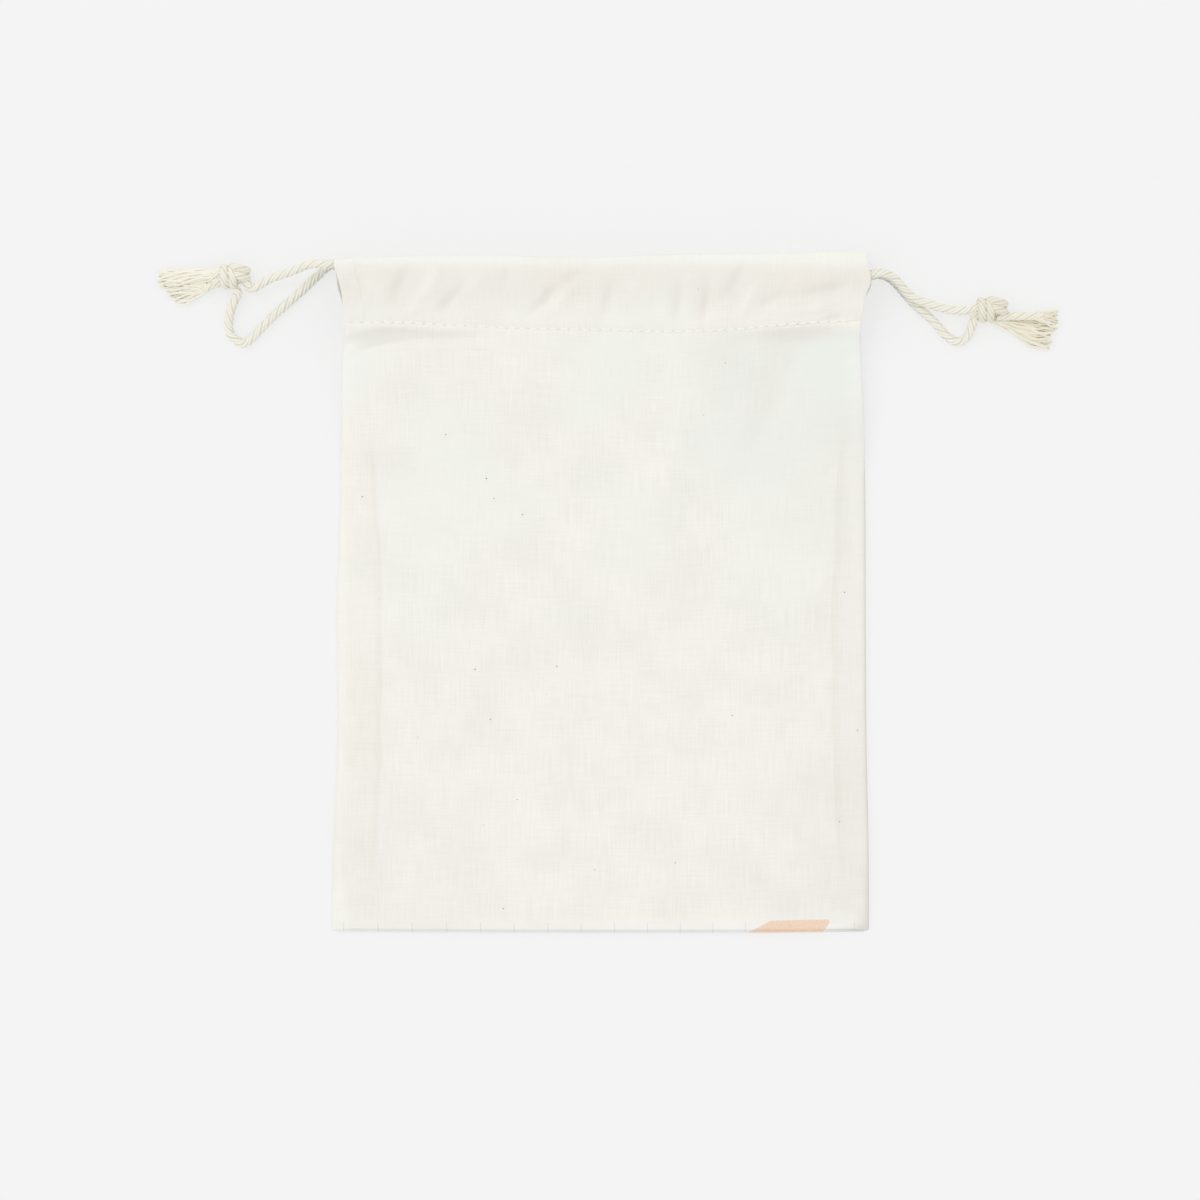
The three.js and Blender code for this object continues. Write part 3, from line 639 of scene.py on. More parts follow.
for side, side_name in side_names.items():
    points = pouch_halves[side]
    cut = np.zeros_like(points)
    across = np.linalg.norm(np.diff(points, axis=1), axis=2)
    cut[:, 1:, 0] = side * np.cumsum(across, axis=1)
    cut[..., 1] = cut_v[:, None]
    # hollow keeps each vertex's fold depth, for the painted shade and highlight of the folds, and its column
    # and row.
    hollow = np.zeros_like(points)
    hollow[..., 1] = np.arange(points.shape[1])
    hollow[..., 2] = np.arange(len(rows))[:, None]
    for index, (stretch, _) in enumerate(rows):
        x, y = points[index, :, 0], points[index, :, 1]
        if stretch == "front_casing":
            hollow[index, :, 0] = casing_creases(x, y) / -deep_fold
        elif stretch == "front_panel":
            hollow[index, :, 0] = fold_height(panel_folds, x, y) / -deep_fold
    bm = bmesh.new()
    sheet_grid(bm, points, {"cut": cut, "laid": points, "hollow": hollow})
    names = [name for name, _ in rows]
    front_lining_rows = names.index("front_fold") + 1
    back_lining_rows = names.index("back_lining")
    layer = bm.verts.layers.float_vector["hollow"]
    beyond = []
    for face in bm.faces:
        middle = sum((vertex[layer] for vertex in face.verts), Vector()) / len(face.verts)
        if middle.y > lining_columns and not front_lining_rows < middle.z < back_lining_rows:
            beyond.append(face)
    bmesh.ops.delete(bm, geom=beyond, context="FACES")
    bmesh.ops.recalc_face_normals(bm, faces=bm.faces)
    top = max(bm.faces, key=height_on_casing)
    if top.normal.z < 0:
        bmesh.ops.reverse_faces(bm, faces=bm.faces)
    bmesh.ops.solidify(bm, geom=bm.faces[:] + bm.edges[:] + bm.verts[:], thickness=cloth_thickness)
    cloth = finished_piece(f"pouch_cloth_{side_name}", bm, cotton)
    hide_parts("front_panel", "back_panel", "front_casing", "back_casing")
    gather_with_cord(cloth)

# Slit hems
# At both ends of each casing the raw edge is turned under for 6 mm before the casing is sewn, so the
# slit where the cords come out has a clean doubled edge. Same cotton, one turned strip at each slit.
hem_width = 0.006
layer_gap = 0.00004


def turned_strip(points, outward):
    """A strip of the cloth's thickness whose outer face is laid just under those points."""
    under = points - outward * (cloth_thickness + layer_gap)
    return solid_sheet(under, {"cut": under, "laid": under}, outward[0, 0])


hem_rows = {
    "front": [row for row in rows if row[0] == "front_casing" or (row[0] == "front_fold" and row[1] >= 0.5)],
    "back": [row for row in rows if row[0] == "back_casing" or (row[0] == "back_fold" and row[1] <= 0.5)],
}
cloth_trim = {-1: [], 1: []}
for side, side_name in side_names.items():
    for face_name, strip_rows in hem_rows.items():
        laid = np.zeros((len(strip_rows), 9, 3))
        outward = np.zeros_like(laid)
        for index, (stretch, along) in enumerate(strip_rows):
            middle_y = cloth_point(stretch, along, np.array([side * 0.06]), side)[0][0]
            outer_x = half_width[side](middle_y) - edge_radius - layer_gap
            x = side * np.linspace(outer_x - hem_width, outer_x, laid.shape[1])
            y, z, out_y, out_z = cloth_point(stretch, along, x, side)
            laid[index] = np.stack([x, y, z], axis=1)
            outward[index] = np.stack([x * 0, out_y, out_z], axis=1)
        hem = finished_piece(f"{face_name}_{side_name}_hem", turned_strip(laid, outward), cotton)
        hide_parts(f"{face_name}_{side_name}_slit_hem")
        gather_with_cord(hem)
        cloth_trim[side].append(hem)

# Seam turnings
# The two raw edges of each side seam lie inside the pouch, pressed together on the back cloth. They
# are about 12 mm wide at the left seam and 8 mm at the right one, as their faint lines show, and are
# held by a row of thread 1.2 mm inside the seam.
turning_z = 0.0007
turnings_inset = 0.0016
seam_in_turnings = 0.0012
turning_start_y = -0.0965
turning_end_y = 0.0784

for side, side_name in side_names.items():
    bm = bmesh.new()
    places = np.linspace(turning_start_y, turning_end_y, 70)
    laid = np.zeros((len(places), 8, 3))
    for index, y in enumerate(places):
        outer_x = half_width[side](y) - turnings_inset
        inner_x = seam_turnings_x[side] + 0.0004 * math.sin(y * 90)
        x = side * np.linspace(inner_x, outer_x, laid.shape[1])
        level = np.full_like(x, y)
        laid[index] = np.stack([x, level, turning_z + back_height(x, level, side)], axis=1)
    for layer_number in range(2):
        top_face = laid + np.array([0, 0, cloth_thickness + layer_number * (cloth_thickness + layer_gap)])
        join_onto(bm, solid_sheet(top_face, {"cut": top_face, "laid": top_face}, (0, 0, 1)))
    turnings = finished_piece(f"{side_name}_seam_turnings", bm, cotton)
    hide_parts(f"{side_name}_seam_allowance")
    gather_with_cord(turnings)
    cloth_trim[side].append(turnings)

# Drawcords
# Two soft cords of three strands of two cotton yarns, 2.8 mm thick, laid up left handed at 10.4 mm
# a turn. Each goes in at one slit through the front casing, turns round at the far slit and comes
# back through the back casing, so both of its ends leave the pouch on the same side.
cord_diameter = 0.0028
cord_radius = cord_diameter / 2
lay_length = 0.0104
slit_x = 0.0792
back_lane_z = 0.0025
front_lane_z = 0.0113
cord_lies_at = 0.0015
knot_height = 0.0041
turn_radius = (front_lane_z - back_lane_z) / 2
turn_x = 0.0731
pull = {"left": -1, "right": 1}
lane_y = {"left": 0.0985, "right": 0.0953}

# Each free strand's route: out from the slit, up from its lane, how much it is still held up at its
# lane and how much at the knot, with distances in millimetres
strand_routes = {
    "left_front": [
        (0.3, 0, 1, 0), (1.6, 0, 1, 0), (3.6, 0, 0.96, 0), (7.7, -0.1, 0.78, 0.05),
        (13.7, -2.2, 0.42, 0.3), (19.8, -4.2, 0.1, 0.8), (23.8, -6.5, 0, 1), (25.6, -7, 0, 1),
    ],
    "left_back": [
        (0.3, 0, 1, 0), (1.6, 0, 1, 0), (3.2, -0.9, 0.8, 0), (6.2, -3.6, 0.2, 0), (9.9, -7.1, 0, 0),
        (13.8, -10.6, 0, 0), (17.9, -14.2, 0, 0), (21.8, -18.1, 0, 0), (25.4, -21.8, 0, 0),
        (27.9, -23.4, 0, 0), (30.3, -22.2, 0, 0), (32, -20.2, 0, 0), (32.3, -16.9, 0, 0.05),
        (31.5, -13.3, 0, 0.25), (30.2, -10.2, 0, 0.6), (29.4, -8.4, 0, 0.8),
    ],
    "right_front": [
        (0.3, 0, 1, 0), (1.6, 0, 1, 0), (4.2, 0.6, 0.95, 0), (7.4, -0.3, 0.78, 0), (10.2, -2.5, 0.56, 0),
        (12.6, -5.3, 0.38, 0.05), (15.4, -7.1, 0.22, 0.25), (19.5, -8.6, 0.06, 0.6), (23.5, -9.8, 0, 0.95),
        (27.5, -10.4, 0, 1), (30.6, -10.3, 0, 1),
    ],
    "right_back": [
        (0.3, 0, 1, 0), (1.6, 0, 1, 0), (4, 0.5, 0.6, 0), (7.4, -0.6, 0, 0), (10, -2.9, 0, 0),
        (12.4, -5.8, 0, 0), (15.3, -8.9, 0, 0), (18.7, -11.8, 0, 0), (21.5, -14.6, 0, 0), (24.3, -17.8, 0, 0),
        (26.6, -19.4, 0, 0), (28.7, -19.6, 0, 0), (30.7, -18.2, 0, 0.1), (31.9, -15.6, 0, 0.4),
        (32.5, -13.7, 0, 0.65),
    ],
}
# Where each strand goes on inside its knot, from the knot's middle, in millimetres
into_knot = {
    "left_front": [(4.4, -0.2, 0.2), (1.6, 0.4, 0.4)],
    "left_back": [(1.2, -3.0, -0.5), (0.2, -0.6, -0.6)],
    "right_front": [(-3.6, 0.6, 0.1), (-0.6, 0.4, 0.3)],
    "right_back": [(-3.0, -1.6, -0.5), (-0.4, -0.6, -0.6)],
}
knot_middle = {
    "left": Vector((-0.1114, 0.0950, knot_height)),
    "right": Vector((0.1153, 0.0850, knot_height)),
}


def smooth_route(points, step):
    """Places a step apart along one smooth curve through the points, which may be spaced unevenly."""
    points = [Vector(point) for point in points]
    points = [points[0] * 2 - points[1]] + points + [points[-1] * 2 - points[-2]]
    fine = []
    for a, b, c, d in zip(points, points[1:], points[2:], points[3:]):
        knots = [0.0]
        for before, after in ((a, b), (b, c), (c, d)):
            knots.append(knots[-1] + math.sqrt((after - before).length))
        k0, k1, k2, k3 = knots
        for share in np.linspace(0, 1, 24, endpoint=False):
            k = k1 + share * (k2 - k1)
            ab = a * ((k1 - k) / (k1 - k0)) + b * ((k - k0) / (k1 - k0))
            bc = b * ((k2 - k) / (k2 - k1)) + c * ((k - k1) / (k2 - k1))
            cd = c * ((k3 - k) / (k3 - k2)) + d * ((k - k2) / (k3 - k2))
            abc = ab * ((k2 - k) / (k2 - k0)) + bc * ((k - k0) / (k2 - k0))
            bcd = bc * ((k3 - k) / (k3 - k1)) + cd * ((k - k1) / (k3 - k1))
            fine.append(abc * ((k2 - k) / (k2 - k1)) + bcd * ((k - k1) / (k2 - k1)))
    fine.append(points[-2])
    return evenly_spaced(fine, step)


def evenly_spaced(fine, step):
    fine = np.array([tuple(place) for place in fine])
    lengths = lengths_along(fine)
    count = max(2, round(lengths[-1] / step))
    wanted = np.linspace(0, lengths[-1], count + 1)
    return np.stack([np.interp(wanted, lengths, fine[:, axis]) for axis in range(3)], axis=1)


def frames_along(route):
    """Directions that turn with the route and don't twist about it: along, up and aside at each place."""
    along = np.gradient(route, axis=0)
    along /= np.linalg.norm(along, axis=1)[:, None]
    up = np.zeros_like(along)
    start = np.array([0.0, 0.0, 1.0])
    if abs(along[0] @ start) > 0.9:
        start = np.array([0.0, 1.0, 0.0])
    up[0] = start - along[0] * (along[0] @ start)
    up[0] /= np.linalg.norm(up[0])
    for index in range(1, len(route)):
        carried = up[index - 1] - along[index] * (along[index] @ up[index - 1])
        up[index] = carried / np.linalg.norm(carried)
    return along, up, np.cross(up, along)


points_round = 54
unevenness_seed = 11.0


def rope_grid(route, radius=cord_radius, lay=lay_length, first_length=0.0, frames=None):
    """Rows of points round a laid cord, whose columns follow its yarns, and what they keep: how deep
    in a groove each lies, how far along the cord it is, and how far round."""
    _, up, aside = frames or frames_along(route)
    length = first_length + lengths_along(route)
    turn = np.linspace(0, 1, points_round + 1)
    strand_phase = (turn * 3) % 1
    yarn_phase = (turn * 6) % 1
    strand = (0.5 + 0.5 * np.cos(2 * math.pi * strand_phase)) ** 1.6
    yarn = (0.5 + 0.5 * np.cos(2 * math.pi * yarn_phase)) ** 1.2
    loose = np.array([
        [noise.noise((s / 0.004, 9 * math.floor(t * 6 % 6), unevenness_seed)) for t in turn[:-1]]
        for s in length
    ])
    loose = np.concatenate([loose, loose[:, :1]], axis=1)
    depth = 0.09 * strand[None, :] + 0.15 * yarn[None, :]
    r = radius * (1.02 - depth + 0.035 * loose)
    sway = np.array([0.12 * noise.noise((s / 0.007, 3.3, unevenness_seed)) for s in length])
    angle = 2 * math.pi * (turn[None, :] + length[:, None] / lay) + sway[:, None]
    points = (route[:, None, :] + r[..., None] * (np.cos(angle)[..., None] * up[:, None, :]
                                                  + np.sin(angle)[..., None] * aside[:, None, :]))
    round_it = turn[None, :] * 2 * math.pi * radius
    kept = [np.broadcast_to(part, r.shape) for part in (depth / 0.24, length[:, None], round_it)]
    return points, np.stack(kept, axis=2)


def yarn_bmesh():
    """An empty bmesh whose vertices keep where they lie on their yarn."""
    bm = bmesh.new()
    bm.verts.layers.float_vector.new("yarn")
    return bm


def add_tube(bm, points, kept):
    """Adds a tube through rows of points round it, closed at both ends."""
    tube = bmesh.new()
    sheet_grid(tube, points, {"yarn": kept})
    bmesh.ops.remove_doubles(tube, verts=tube.verts, dist=1e-7)
    rims = [edge for edge in tube.edges if edge.is_boundary]
    bmesh.ops.holes_fill(tube, edges=rims, sides=0)
    bmesh.ops.recalc_face_normals(tube, faces=tube.faces)
    join_onto(bm, tube)


def add_thin_tube(bm, route, radius, sides, groove, length, taper=1.0):
    """Adds a plain round tube along a route. It keeps how deep in a groove and how far along each row
    is. taper thins the rows, where it is given."""
    _, up, aside = frames_along(route)
    turn = np.linspace(0, 2 * math.pi, sides + 1)
    outward = np.cos(turn)[None, :, None] * up[:, None, :] + np.sin(turn)[None, :, None] * aside[:, None, :]
    ring = route[:, None, :] + radius * taper * outward
    kept = np.zeros_like(ring)
    kept[..., 0] = groove
    kept[..., 1] = length[:, None]
    kept[..., 2] = turn[None, :] * radius
    add_tube(bm, ring, kept)


def laid_cotton(name, dark, light, groove_shade):
    """Soft cotton yarns: lighter on their crowns and darker in the grooves, which is painted shade, with fine
    fibres along them.
    """
    finish = Finish(name, 0.95, 0.15)
    _, (depth, length, around) = finish.kept("yarn")
    yarn = finish.node("ShaderNodeCombineXYZ", inputs={0: around, 1: length}).outputs[0]
    fibres = finish.clouds(yarn, 0.00011, (1, 14, 1))
    tufts = finish.clouds(yarn, 0.0012, (1, 2.5, 1))
    shade = fibres * 0.45 + tufts * 0.55
    colour = finish.mixed(shade.rising(0.30, 0.70), dark, light)
    patchy_groove_shade = finish.clouds(yarn, 0.0040, (1, 1.5, 1), detail=1.0)
    # Painted shade in the grooves, stronger in some patches than in others.
    colour = finish.mixed(depth.rising(0.0, 1.0) * (0.60 + patchy_groove_shade * 0.45), colour, groove_shade)
    finish.feed(finish.shader.inputs["Base Color"], colour)
    finish.raised(fibres, 0.00002)
    return finish.material


cord_finish = laid_cotton(
    "cotton_cord", dark=tone(245, 244, 233), light=tone(252, 250, 244), groove_shade=tone(224, 219, 198)
)


def strand_places(name):
    """One free strand's route in metres, from its slit to the middle of its knot."""
    side_name, face_name = name.split("_")
    lane_z = front_lane_z if face_name == "front" else back_lane_z
    places = []
    for out, upward, held, tied in strand_routes[name]:
        z = cord_lies_at + held * (lane_z - cord_lies_at) + tied * (knot_height - cord_lies_at)
        x = pull[side_name] * (slit_x + out / 1000)
        places.append(Vector((x, lane_y[side_name] + upward / 1000, z)))
    for place in into_knot[name]:
        places.append(knot_middle[side_name] + Vector(place) / 1000)
    places.insert(0, Vector((pull[side_name] * slit_x, lane_y[side_name], lane_z)))
    return places


free_step = 0.0005
held_step = 0.0009
strand_lengths = {}
for side_name, direction in pull.items():
    front = smooth_route(strand_places(f"{side_name}_front"), free_step)[::-1]
    back = smooth_route(strand_places(f"{side_name}_back"), free_step)
    y = lane_y[side_name]
    bend = []
    for angle in np.linspace(0, math.pi, 40):
        x = -direction * (turn_x + turn_radius * math.sin(angle))
        bend.append((x, y, back_lane_z + turn_radius * (1 + math.cos(angle))))
    goes_in = (direction * slit_x, y, front_lane_z)
    comes_out = (direction * slit_x, y, back_lane_z)
    held = evenly_spaced([goes_in] + bend + [comes_out], held_step)
    whole = np.concatenate([front, held[1:-1], back])
    frames = frames_along(whole)
    lengths = lengths_along(whole)
    cuts = {
        "front": (0, len(front) - 1),
        "held": (len(front) - 1, len(front) + len(held) - 2),
        "back": (len(front) + len(held) - 2, len(whole) - 1),
    }
    for part, (first, last) in cuts.items():
        span = slice(first, last + 1)
        part_frames = [axis[span] for axis in frames]
        points, kept = rope_grid(whole[span], first_length=lengths[first], frames=part_frames)
        bm = yarn_bmesh()
        add_tube(bm, points, kept)
        piece = finished_piece(f"{side_name}_{part}_cord", bm, cord_finish)
        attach(piece, f"{side_name}_cord")
        strand_lengths[side_name, part] = (lengths[last] - lengths[first], whole[span])
    held_nodes = [f"{side_name}_cord_{part}" for part in ("front_run", "far_turn", "back_run")]
    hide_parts(*held_nodes)
    for part in ("front", "back"):
        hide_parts(f"{side_name}_cord_{part}_strand")

# Knots
# Both ends of a cord are tied together in one overhand knot, pulled tight: the pair of strands goes
# once round itself, side by side, and leaves a short lobe where it turns back under the wrap. Only
# what shows is made: a wrap, a lobe and a run through, of two ropes each, whose ends are buried.
wrap_radius = 2.6
strand_spacing = 2.3
wrap_drift = 1.3
wrap_turn = 410
lobe_route = [
    (0.9, 1.7, 1.5), (2.6, 1.5, 2.3), (4.4, 1.0, 2.0), (5.5, 0.7, 0.4), (4.9, 0.5, -1.2), (2.8, 0.3, -1.6),
    (0.8, 0.2, -1.0),
]
through_route = [(-4.6, -0.6, -0.4), (-2.4, -0.3, 0.2), (0, 0.1, 0.3), (2.4, 0.2, -0.2), (4.4, 0.1, -0.6)]
knot_rope_radius = 0.00135
# The right knot and tail get extra painted shade in their grooves.
extra_painted_shade = {"left": 0.0, "right": 0.20}
knot_finish = laid_cotton(
    "knotted_cord", dark=tone(242, 240, 227), light=tone(251, 249, 240), groove_shade=tone(221, 215, 193)
)


def wrap_route(offset):
    """One strand's way round the others, whose two ends dive under the wrap."""
    places = []
    for share in np.linspace(0, 1, 40):
        turned = abs(share - 0.5) * wrap_turn
        buried = smooth_step(turned, 165, 205)
        radius = wrap_radius + (1.2 - wrap_radius) * buried
        angle = math.radians(share * wrap_turn - 25 - 90)
        across = offset + wrap_drift * (share - 0.5)
        places.append((across, radius * math.cos(angle), radius * math.sin(angle)))
    return places


knots = {}
for side_name in pull:
    bm = yarn_bmesh()
    routes = [wrap_route(offset * strand_spacing / 2) for offset in (-1, 1)]
    routes += [[(x, y + offset * 1.15, z) for x, y, z in lobe_route] for offset in (-1, 1)]
    routes += [[(x, y + offset * 1.0, z) for x, y, z in through_route] for offset in (-1, 1)]
    for number, places in enumerate(routes):
        placed = [knot_middle[side_name] + Vector(place) / 1000 for place in places]
        route = smooth_route(placed, 0.00045)
        points, kept = rope_grid(route, radius=knot_rope_radius, first_length=0.0037 * number)
        points[..., 2] = np.maximum(points[..., 2], 0.0001)
        kept[..., 0] += extra_painted_shade[side_name]
        add_tube(bm, points, kept)
    knot = finished_piece(f"{side_name}_knot", bm, knot_finish)
    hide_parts(f"{side_name}_cord_knot")
    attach(knot, f"{side_name}_cord")
    knots[side_name] = knot

# Frayed tails
# Past its knot each cord's end is left about 20 mm long and has come unlaid: its fine yarns stay
# twisted for a little, then spread in a flat wavy tuft, cut unevenly.

# Each tail's route: x and y from the knot's middle, share of the knot's height, and width, in mm
tail_routes = {
    "left_upper": [
        (-4.4, 0.4, 0.8, 4.0), (-8, 0.4, 0.5, 4.6), (-12, 0.2, 0.25, 5.0), (-16, -0.1, 0.15, 5.4),
        (-21.6, -0.5, 0.1, 6.0),
    ],
    "left_lower": [
        (-3.2, -1.9, 0.7, 2.9), (-6.6, -3.0, 0.4, 3.2), (-10.4, -4.3, 0.1, 4.6), (-14.6, -5.0, 0, 7.2),
        (-21.0, -5.0, 0, 8.6),
    ],
    "right_upper": [
        (5.2, -1.8, 0.8, 2.8), (9.4, -1.8, 0.65, 2.9), (13.5, -1.8, 0.5, 2.9), (17, -1.9, 0.4, 3.4),
        (22.0, -2.8, 0.3, 6.2),
    ],
    "right_lower": [
        (2.6, -2.4, 0.5, 2.8), (6.2, -3.7, 0.2, 3.9), (10, -5.3, 0.05, 5.6), (15, -7.1, 0, 8.8),
        (22.0, -7.9, 0, 10.8),
    ],
}
still_laid = {"left_upper": 0.0, "left_lower": 0.34, "right_upper": 0.72, "right_lower": 0.0}
end_slant = {"left_upper": 0.0, "left_lower": 0.0050, "right_upper": 0.0, "right_lower": 0.0022}
buried_in_knot = 0.002
tail_rest_z = 0.0012
tail_thickness = 0.0022
yarn_radius = 0.00034
laid_tail_radius = 0.0013
yarn_count = 34
golden_turn = math.pi * (3 - math.sqrt(5))
tail_finish = laid_cotton(
    "frayed_cotton", dark=tone(243, 240, 225), light=tone(253, 252, 244), groove_shade=tone(226, 217, 191)
)

tails = {}
for name, places in tail_routes.items():
    side_name = name.split("_")[0]
    middle = knot_middle[side_name]
    points = []
    for x, y, tied, _ in places:
        z = tail_rest_z + tied * (knot_height - tail_rest_z)
        points.append(Vector((middle.x + x / 1000, middle.y + y / 1000, z)))
    points.insert(0, points[0] + (points[0] - points[1]).normalized() * buried_in_knot)
    route = smooth_route(points, 0.0006)
    _, _, aside = frames_along(route)
    steps = np.linalg.norm(np.diff(route, axis=0), axis=1)
    length = np.concatenate([[0], np.cumsum(steps)])
    share = length / length[-1]
    reach = places[-1][0] - places[0][0]
    widths = through([((x - places[0][0]) / reach, width) for x, _, _, width in places])
    half_span = widths(share) / 2000
    opened = smooth_step(share, still_laid[name] - 0.05, still_laid[name] + 0.20)
    twist = np.cumsum(np.concatenate([[0], steps]) * (1 - opened)) * 2 * math.pi / lay_length
    flat_aside = aside * np.array([1, 1, 0])
    flat_aside /= np.linalg.norm(flat_aside, axis=1)[:, None]
    flat_up = math.copysign(1, flat_aside[-1, 1])
    bm = yarn_bmesh()
    laid_part = route[share <= still_laid[name] + 0.04]
    if len(laid_part) > 8:
        rope, kept = rope_grid(evenly_spaced(laid_part, free_step), radius=laid_tail_radius)
        add_tube(bm, rope, kept)
    loose_from = max(0.0, still_laid[name] - 0.10)
    turn = np.linspace(0, 2 * math.pi, 17)
    inner_end = 0.84 - end_slant[name] / length[-1]
    inner = (share >= loose_from) & (share <= inner_end)
    inner_width = (half_span - yarn_radius) * 0.84 * np.clip((inner_end + 0.03 - share) / 0.14, 0.20, 1)
    inner_height = tail_thickness * 0.30 * np.clip((inner_end + 0.05 - share) / 0.14, 0.30, 1)
    core = (route[:, None, :] + flat_aside[:, None, :] * (inner_width[:, None] * np.cos(turn))[..., None]
            + np.array([0, 0, 1.0]) * (inner_height[:, None] * np.sin(turn))[..., None])[inner]
    core[..., 2] = np.maximum(core[..., 2], yarn_radius)
    # The core is painted in the groove shade, and shows as shade in the gaps between the yarns.
    kept = np.full_like(core, 0.85)
    kept[..., 1] = length[inner][:, None]
    kept[..., 2] = turn * 0.001
    add_tube(bm, core, kept)
    for number in range(yarn_count):
        outward = math.sqrt((number + 0.5) / yarn_count)
        angle = number * golden_turn + twist
        wander = np.array([
            [noise.noise((s / 0.0045, number * 7.1, seed)) for s in length] for seed in (1.5, 4.5)
        ])
        slack = 0.00060 * opened * share
        crimp = 2 * math.pi * length / 0.0085 + number * 2.1
        across = outward * np.cos(angle) * (half_span - yarn_radius) + wander[0] * slack
        across += (0.00020 + 0.00028 * share**3) * opened * np.sin(crimp)
        height = outward * np.sin(angle) * (tail_thickness / 2 - yarn_radius) + wander[1] * slack * 0.6
        height += (0.00010 + 0.00014 * share**3) * opened * np.cos(crimp)
        path = route + flat_aside * across[:, None] + np.array([0, 0, 1.0]) * height[:, None]
        lower_side = 0.5 - 0.5 * across[-1] * flat_up / half_span[-1]
        cut_short = 0.0014 * noise.noise((number * 3.7, 8.8, 2.2)) - 0.0006 - end_slant[name] * lower_side
        keep = (length <= length[-1] + min(0.0, cut_short)) & (share >= loose_from)
        path = path[keep]
        path[:, 2] = np.maximum(path[:, 2], yarn_radius + 0.0001)
        taper = 1 - 0.22 * smooth_step(np.arange(len(path)), len(path) - 4, len(path) - 1)
        # Each yarn has its own tone, and painted shade is added towards the middle of the bundle.
        own_tone = 0.12 + 0.30 * (number * 0.382 % 1)
        groove = own_tone + 0.30 * (1 - outward) + extra_painted_shade[side_name]
        add_thin_tube(
            bm, path, yarn_radius, 6, groove, length[keep] + number * 0.013, taper=taper[:, None, None]
        )
    tail = finished_piece(f"{name}_tail", bm, tail_finish)
    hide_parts(f"{side_name}_cord_{name.split('_')[1]}_tail")
    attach(tail, f"{side_name}_cord")
    tails[name] = tail

for side_name in pull:
    for part in ("front", "back"):
        strand_length, path = strand_lengths[side_name, part]
        ends = [knots[side_name], tails[f"{side_name}_upper"], tails[f"{side_name}_lower"]]

# Casing stitches
# Each casing is sewn down by one row of cream two-ply thread, 3.1 mm a stitch, which pulls the cloth
# into a shallow groove and shows on both faces as short slanting dashes between dark needle holes.
thread_radius = 0.00024
thread_finish = laid_cotton(
    "sewing_thread", dark=tone(247, 243, 234), light=tone(252, 249, 242), groove_shade=tone(216, 206, 190)
)


def add_stitch(bm, start, end, above, sink, number):
    """One stitch from hole to hole: a short thread whose ends dive into the cloth."""
    along = end - start
    places = []
    for share in np.linspace(0, 1, 9):
        dive = abs(2 * share - 1) ** 5
        places.append(start + along * share + above * (thread_radius * 0.45 - sink * dive))
    route = np.array([tuple(place) for place in places])
    length = np.linspace(0, along.length, 9) + number * stitch_pitch
    # The thread's diving ends take the painted groove shade, as shade in the needle holes.
    add_thin_tube(bm, route, thread_radius, 7, np.linspace(-1, 1, 9)[:, None] ** 8, length)


needle_gap = 0.00045
stitch_sink = 0.00030
for side, side_name in side_names.items():
    for face_name in ("front", "back"):
        bm = yarn_bmesh()
        count = int((edge_x(side, 0.080) - 0.0006) / stitch_pitch)
        for number in range(count):
            lean = 0.00008 * math.sin(number * 2.3) + 0.00006
            ends = []
            for share, drop in ((0.0, -1), (1.0, 1)):
                x = side * (number * stitch_pitch + needle_gap / 2 + share * (stitch_pitch - needle_gap))
                ends.append((x, float(stitch_line(x)) + drop * lean))
            for outer in (True, False):
                placed = []
                for x, y in ends:
                    flat_x, flat_y = np.array([x]), np.array([y])
                    if face_name == "front":
                        z = casing_height(flat_x, flat_y)[0] if outer else lining_z
                    else:
                        z = back_height(flat_x, flat_y, side)[0] if outer else 2 * cloth_thickness
                    placed.append(Vector((x, y, z)))
                facing = 1 if outer == (face_name == "front") else -1
                add_stitch(bm, placed[0], placed[1], Vector((0, 0, facing)), stitch_sink, number)
        row = finished_piece(f"{face_name}_{side_name}_stitches", bm, thread_finish)
        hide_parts(f"{face_name}_casing_stitches")
        gather_with_cord(row)
        cloth_trim[side].append(row)

# Seam stitches
# The row of the same thread that closes each side seam, hidden between the turnings and the front.
for side, side_name in side_names.items():
    bm = yarn_bmesh()
    count = int((turning_end_y - turning_start_y) / stitch_pitch)
    for number in range(count):
        placed = []
        for share in (0.0, 1.0):
            y = turning_start_y + number * stitch_pitch + needle_gap / 2 + share * (stitch_pitch - needle_gap)
            x = side * (half_width[side](y) - turnings_inset - seam_in_turnings)
            z = turning_z + 2 * cloth_thickness + back_height(np.array([x]), np.array([y]), side)[0]
            placed.append(Vector((x, y, z)))
        add_stitch(bm, placed[0], placed[1], Vector((0, 0, 1)), stitch_sink, number)
    seam_row = finished_piece(f"{side_name}_seam_thread", bm, thread_finish)
    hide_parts(f"{side_name}_seam_stitches")
    gather_with_cord(seam_row)
    cloth_trim[side].append(seam_row)

# Seed flecks
# Unbleached cotton keeps a few brown bits of seed husk, which are spun into its threads and show as
# specks of a third of a millimetre. Their places, in millimetres, are those of specks in the photograph.
fleck_places = [
    (-4.2, -14.6), (-23.4, 23.7), (-46.2, 47.6), (29.1, 90.9), (22.3, -80.3), (-29.1, -94.1), (-1.8, -82.4),
    (37.3, 69.0), (-71.3, 29.1), (-31.8, 28.5), (-66.3, -1.5), (-37.5, -22.5), (-13.1, -21.6), (-16.1, -30.0),
    (39.3, -36.3), (76.9, -40.8), (-54.6, -42.8), (-24.9, -61.4), (73.0, 0.5),
    (71.5, -68.1), (30.7, 53.4), (-34.1, 34.5), (-32.9, -37.5), (-35.0, -69.0),
]
husk = Finish("seed_husk", 0.8, 0.0)
_, (fleck_x, fleck_y, _) = husk.kept("laid")
husk.feed(
    husk.shader.inputs["Base Color"],
    husk.mixed((fleck_x + fleck_y).wave(0.0007) * 0.5 + 0.5, tone(126, 104, 76), tone(168, 146, 112)),
)
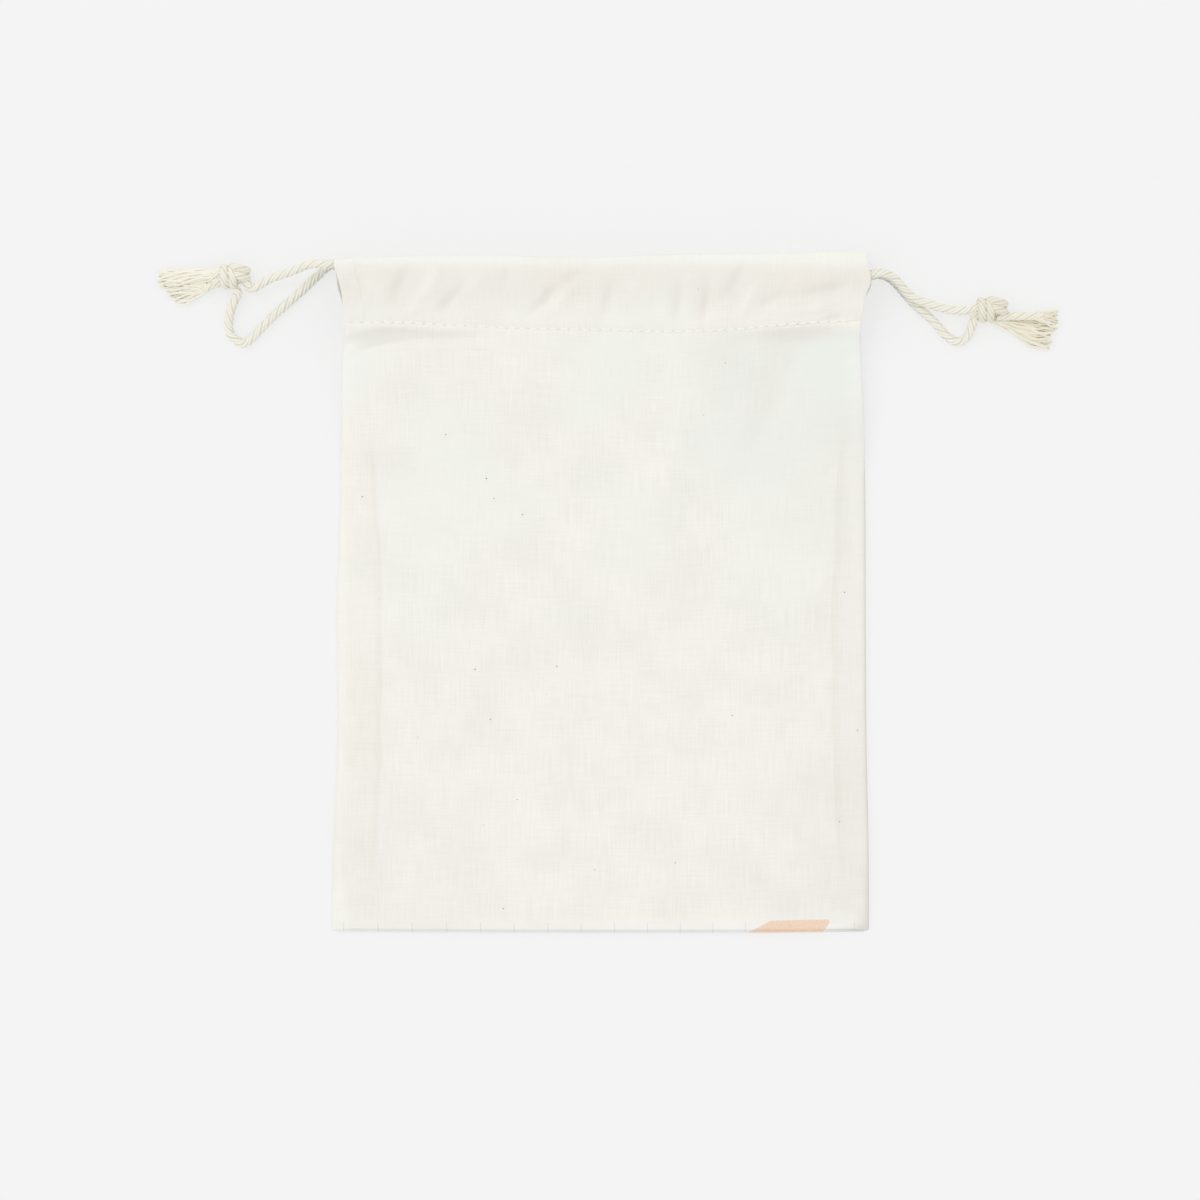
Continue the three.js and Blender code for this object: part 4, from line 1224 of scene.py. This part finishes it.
for side, side_name in side_names.items():
    bm = bmesh.new()
    laid_layer = bm.verts.layers.float_vector.new("laid")
    for number, (x, y) in enumerate(fleck_places):
        x, y = x / 1000, y / 1000
        if x * side < 0:
            continue
        flat_x, flat_y = np.array([x]), np.array([y])
        z = (casing_height(flat_x, flat_y) if y > stitch_line(x) else front_height(flat_x, flat_y, side))[0]
        size = 0.00010 + 0.00009 * math.sin(number * 4.1) ** 2
        speck = bmesh.ops.create_icosphere(bm, subdivisions=1, radius=size)["verts"]
        bmesh.ops.scale(bm, verts=speck, vec=(1.0 + 0.7 * math.sin(number * 1.9) ** 2, 1.0, 0.5))
        bmesh.ops.translate(bm, verts=speck, vec=(x, y, z + 0.00002))
        for vertex in speck:
            vertex[laid_layer] = vertex.co
    flecks = finished_piece(f"{side_name}_seed_flecks", bm, husk.material)
    gather_with_cord(flecks)
    cloth_trim[side].append(flecks)

# Floor and light
# A plain pale table top under a broad soft light from the upper left, with light from all round.
floor_tone = tone(244, 244, 244)
bm = bmesh.new()
bmesh.ops.create_grid(bm, x_segments=1, y_segments=1, size=3.0)
bmesh.ops.translate(bm, verts=bm.verts, vec=(0, 0, -0.0001))
table_finish = Finish("pale_table", 0.9, 0.0)
table_finish.shader.inputs["Base Color"].default_value = floor_tone
plain = table_finish.node("ShaderNodeEmission", inputs={"Color": floor_tone, "Strength": 1.0})
looked_at = table_finish.node("ShaderNodeLightPath").outputs
direct = Shade(table_finish, looked_at["Is Camera Ray"]) + Shade(table_finish, looked_at["Is Glossy Ray"])
table_mix = table_finish.node(
    "ShaderNodeMixShader", inputs={0: direct * 0.76, 1: table_finish.shader.outputs[0], 2: plain.outputs[0]}
)
table_finish.feed(table_finish.tree.nodes["Material Output"].inputs["Surface"], table_mix.outputs[0])
table_top = finished_piece("table_top", bm, table_finish.material)

world_share = 0.87
key_tilt = math.radians(32)
key = bpy.data.lights.new("soft_key", "SUN")
key.energy = (1 - world_share) * math.pi / math.cos(key_tilt)
key.angle = math.radians(35)
soft_key = bpy.data.objects.new("soft_key", key)
soft_key.rotation_euler = (0, key_tilt, math.radians(138))
scene.collection.objects.link(soft_key)

world = bpy.data.worlds.new("studio")
scene.world = world
world.use_nodes = True
nodes, links = world.node_tree.nodes, world.node_tree.links
light_path = nodes.new("ShaderNodeLightPath")
seen = nodes.new("ShaderNodeBackground")
seen.inputs["Color"].default_value = floor_tone
lighting = nodes["Background"]
lighting.inputs["Color"].default_value = (1, 1, 1, 1)
lighting.inputs["Strength"].default_value = world_share
either = nodes.new("ShaderNodeMixShader")
seen_straight = light_path.outputs["Is Camera Ray"]
for kind in ("Is Glossy Ray", "Is Transmission Ray"):
    total = nodes.new("ShaderNodeMath")
    links.new(seen_straight, total.inputs[0])
    links.new(light_path.outputs[kind], total.inputs[1])
    seen_straight = total.outputs[0]
links.new(seen_straight, either.inputs[0])
links.new(lighting.outputs[0], either.inputs[1])
links.new(seen.outputs[0], either.inputs[2])
links.new(either.outputs[0], nodes["World Output"].inputs["Surface"])
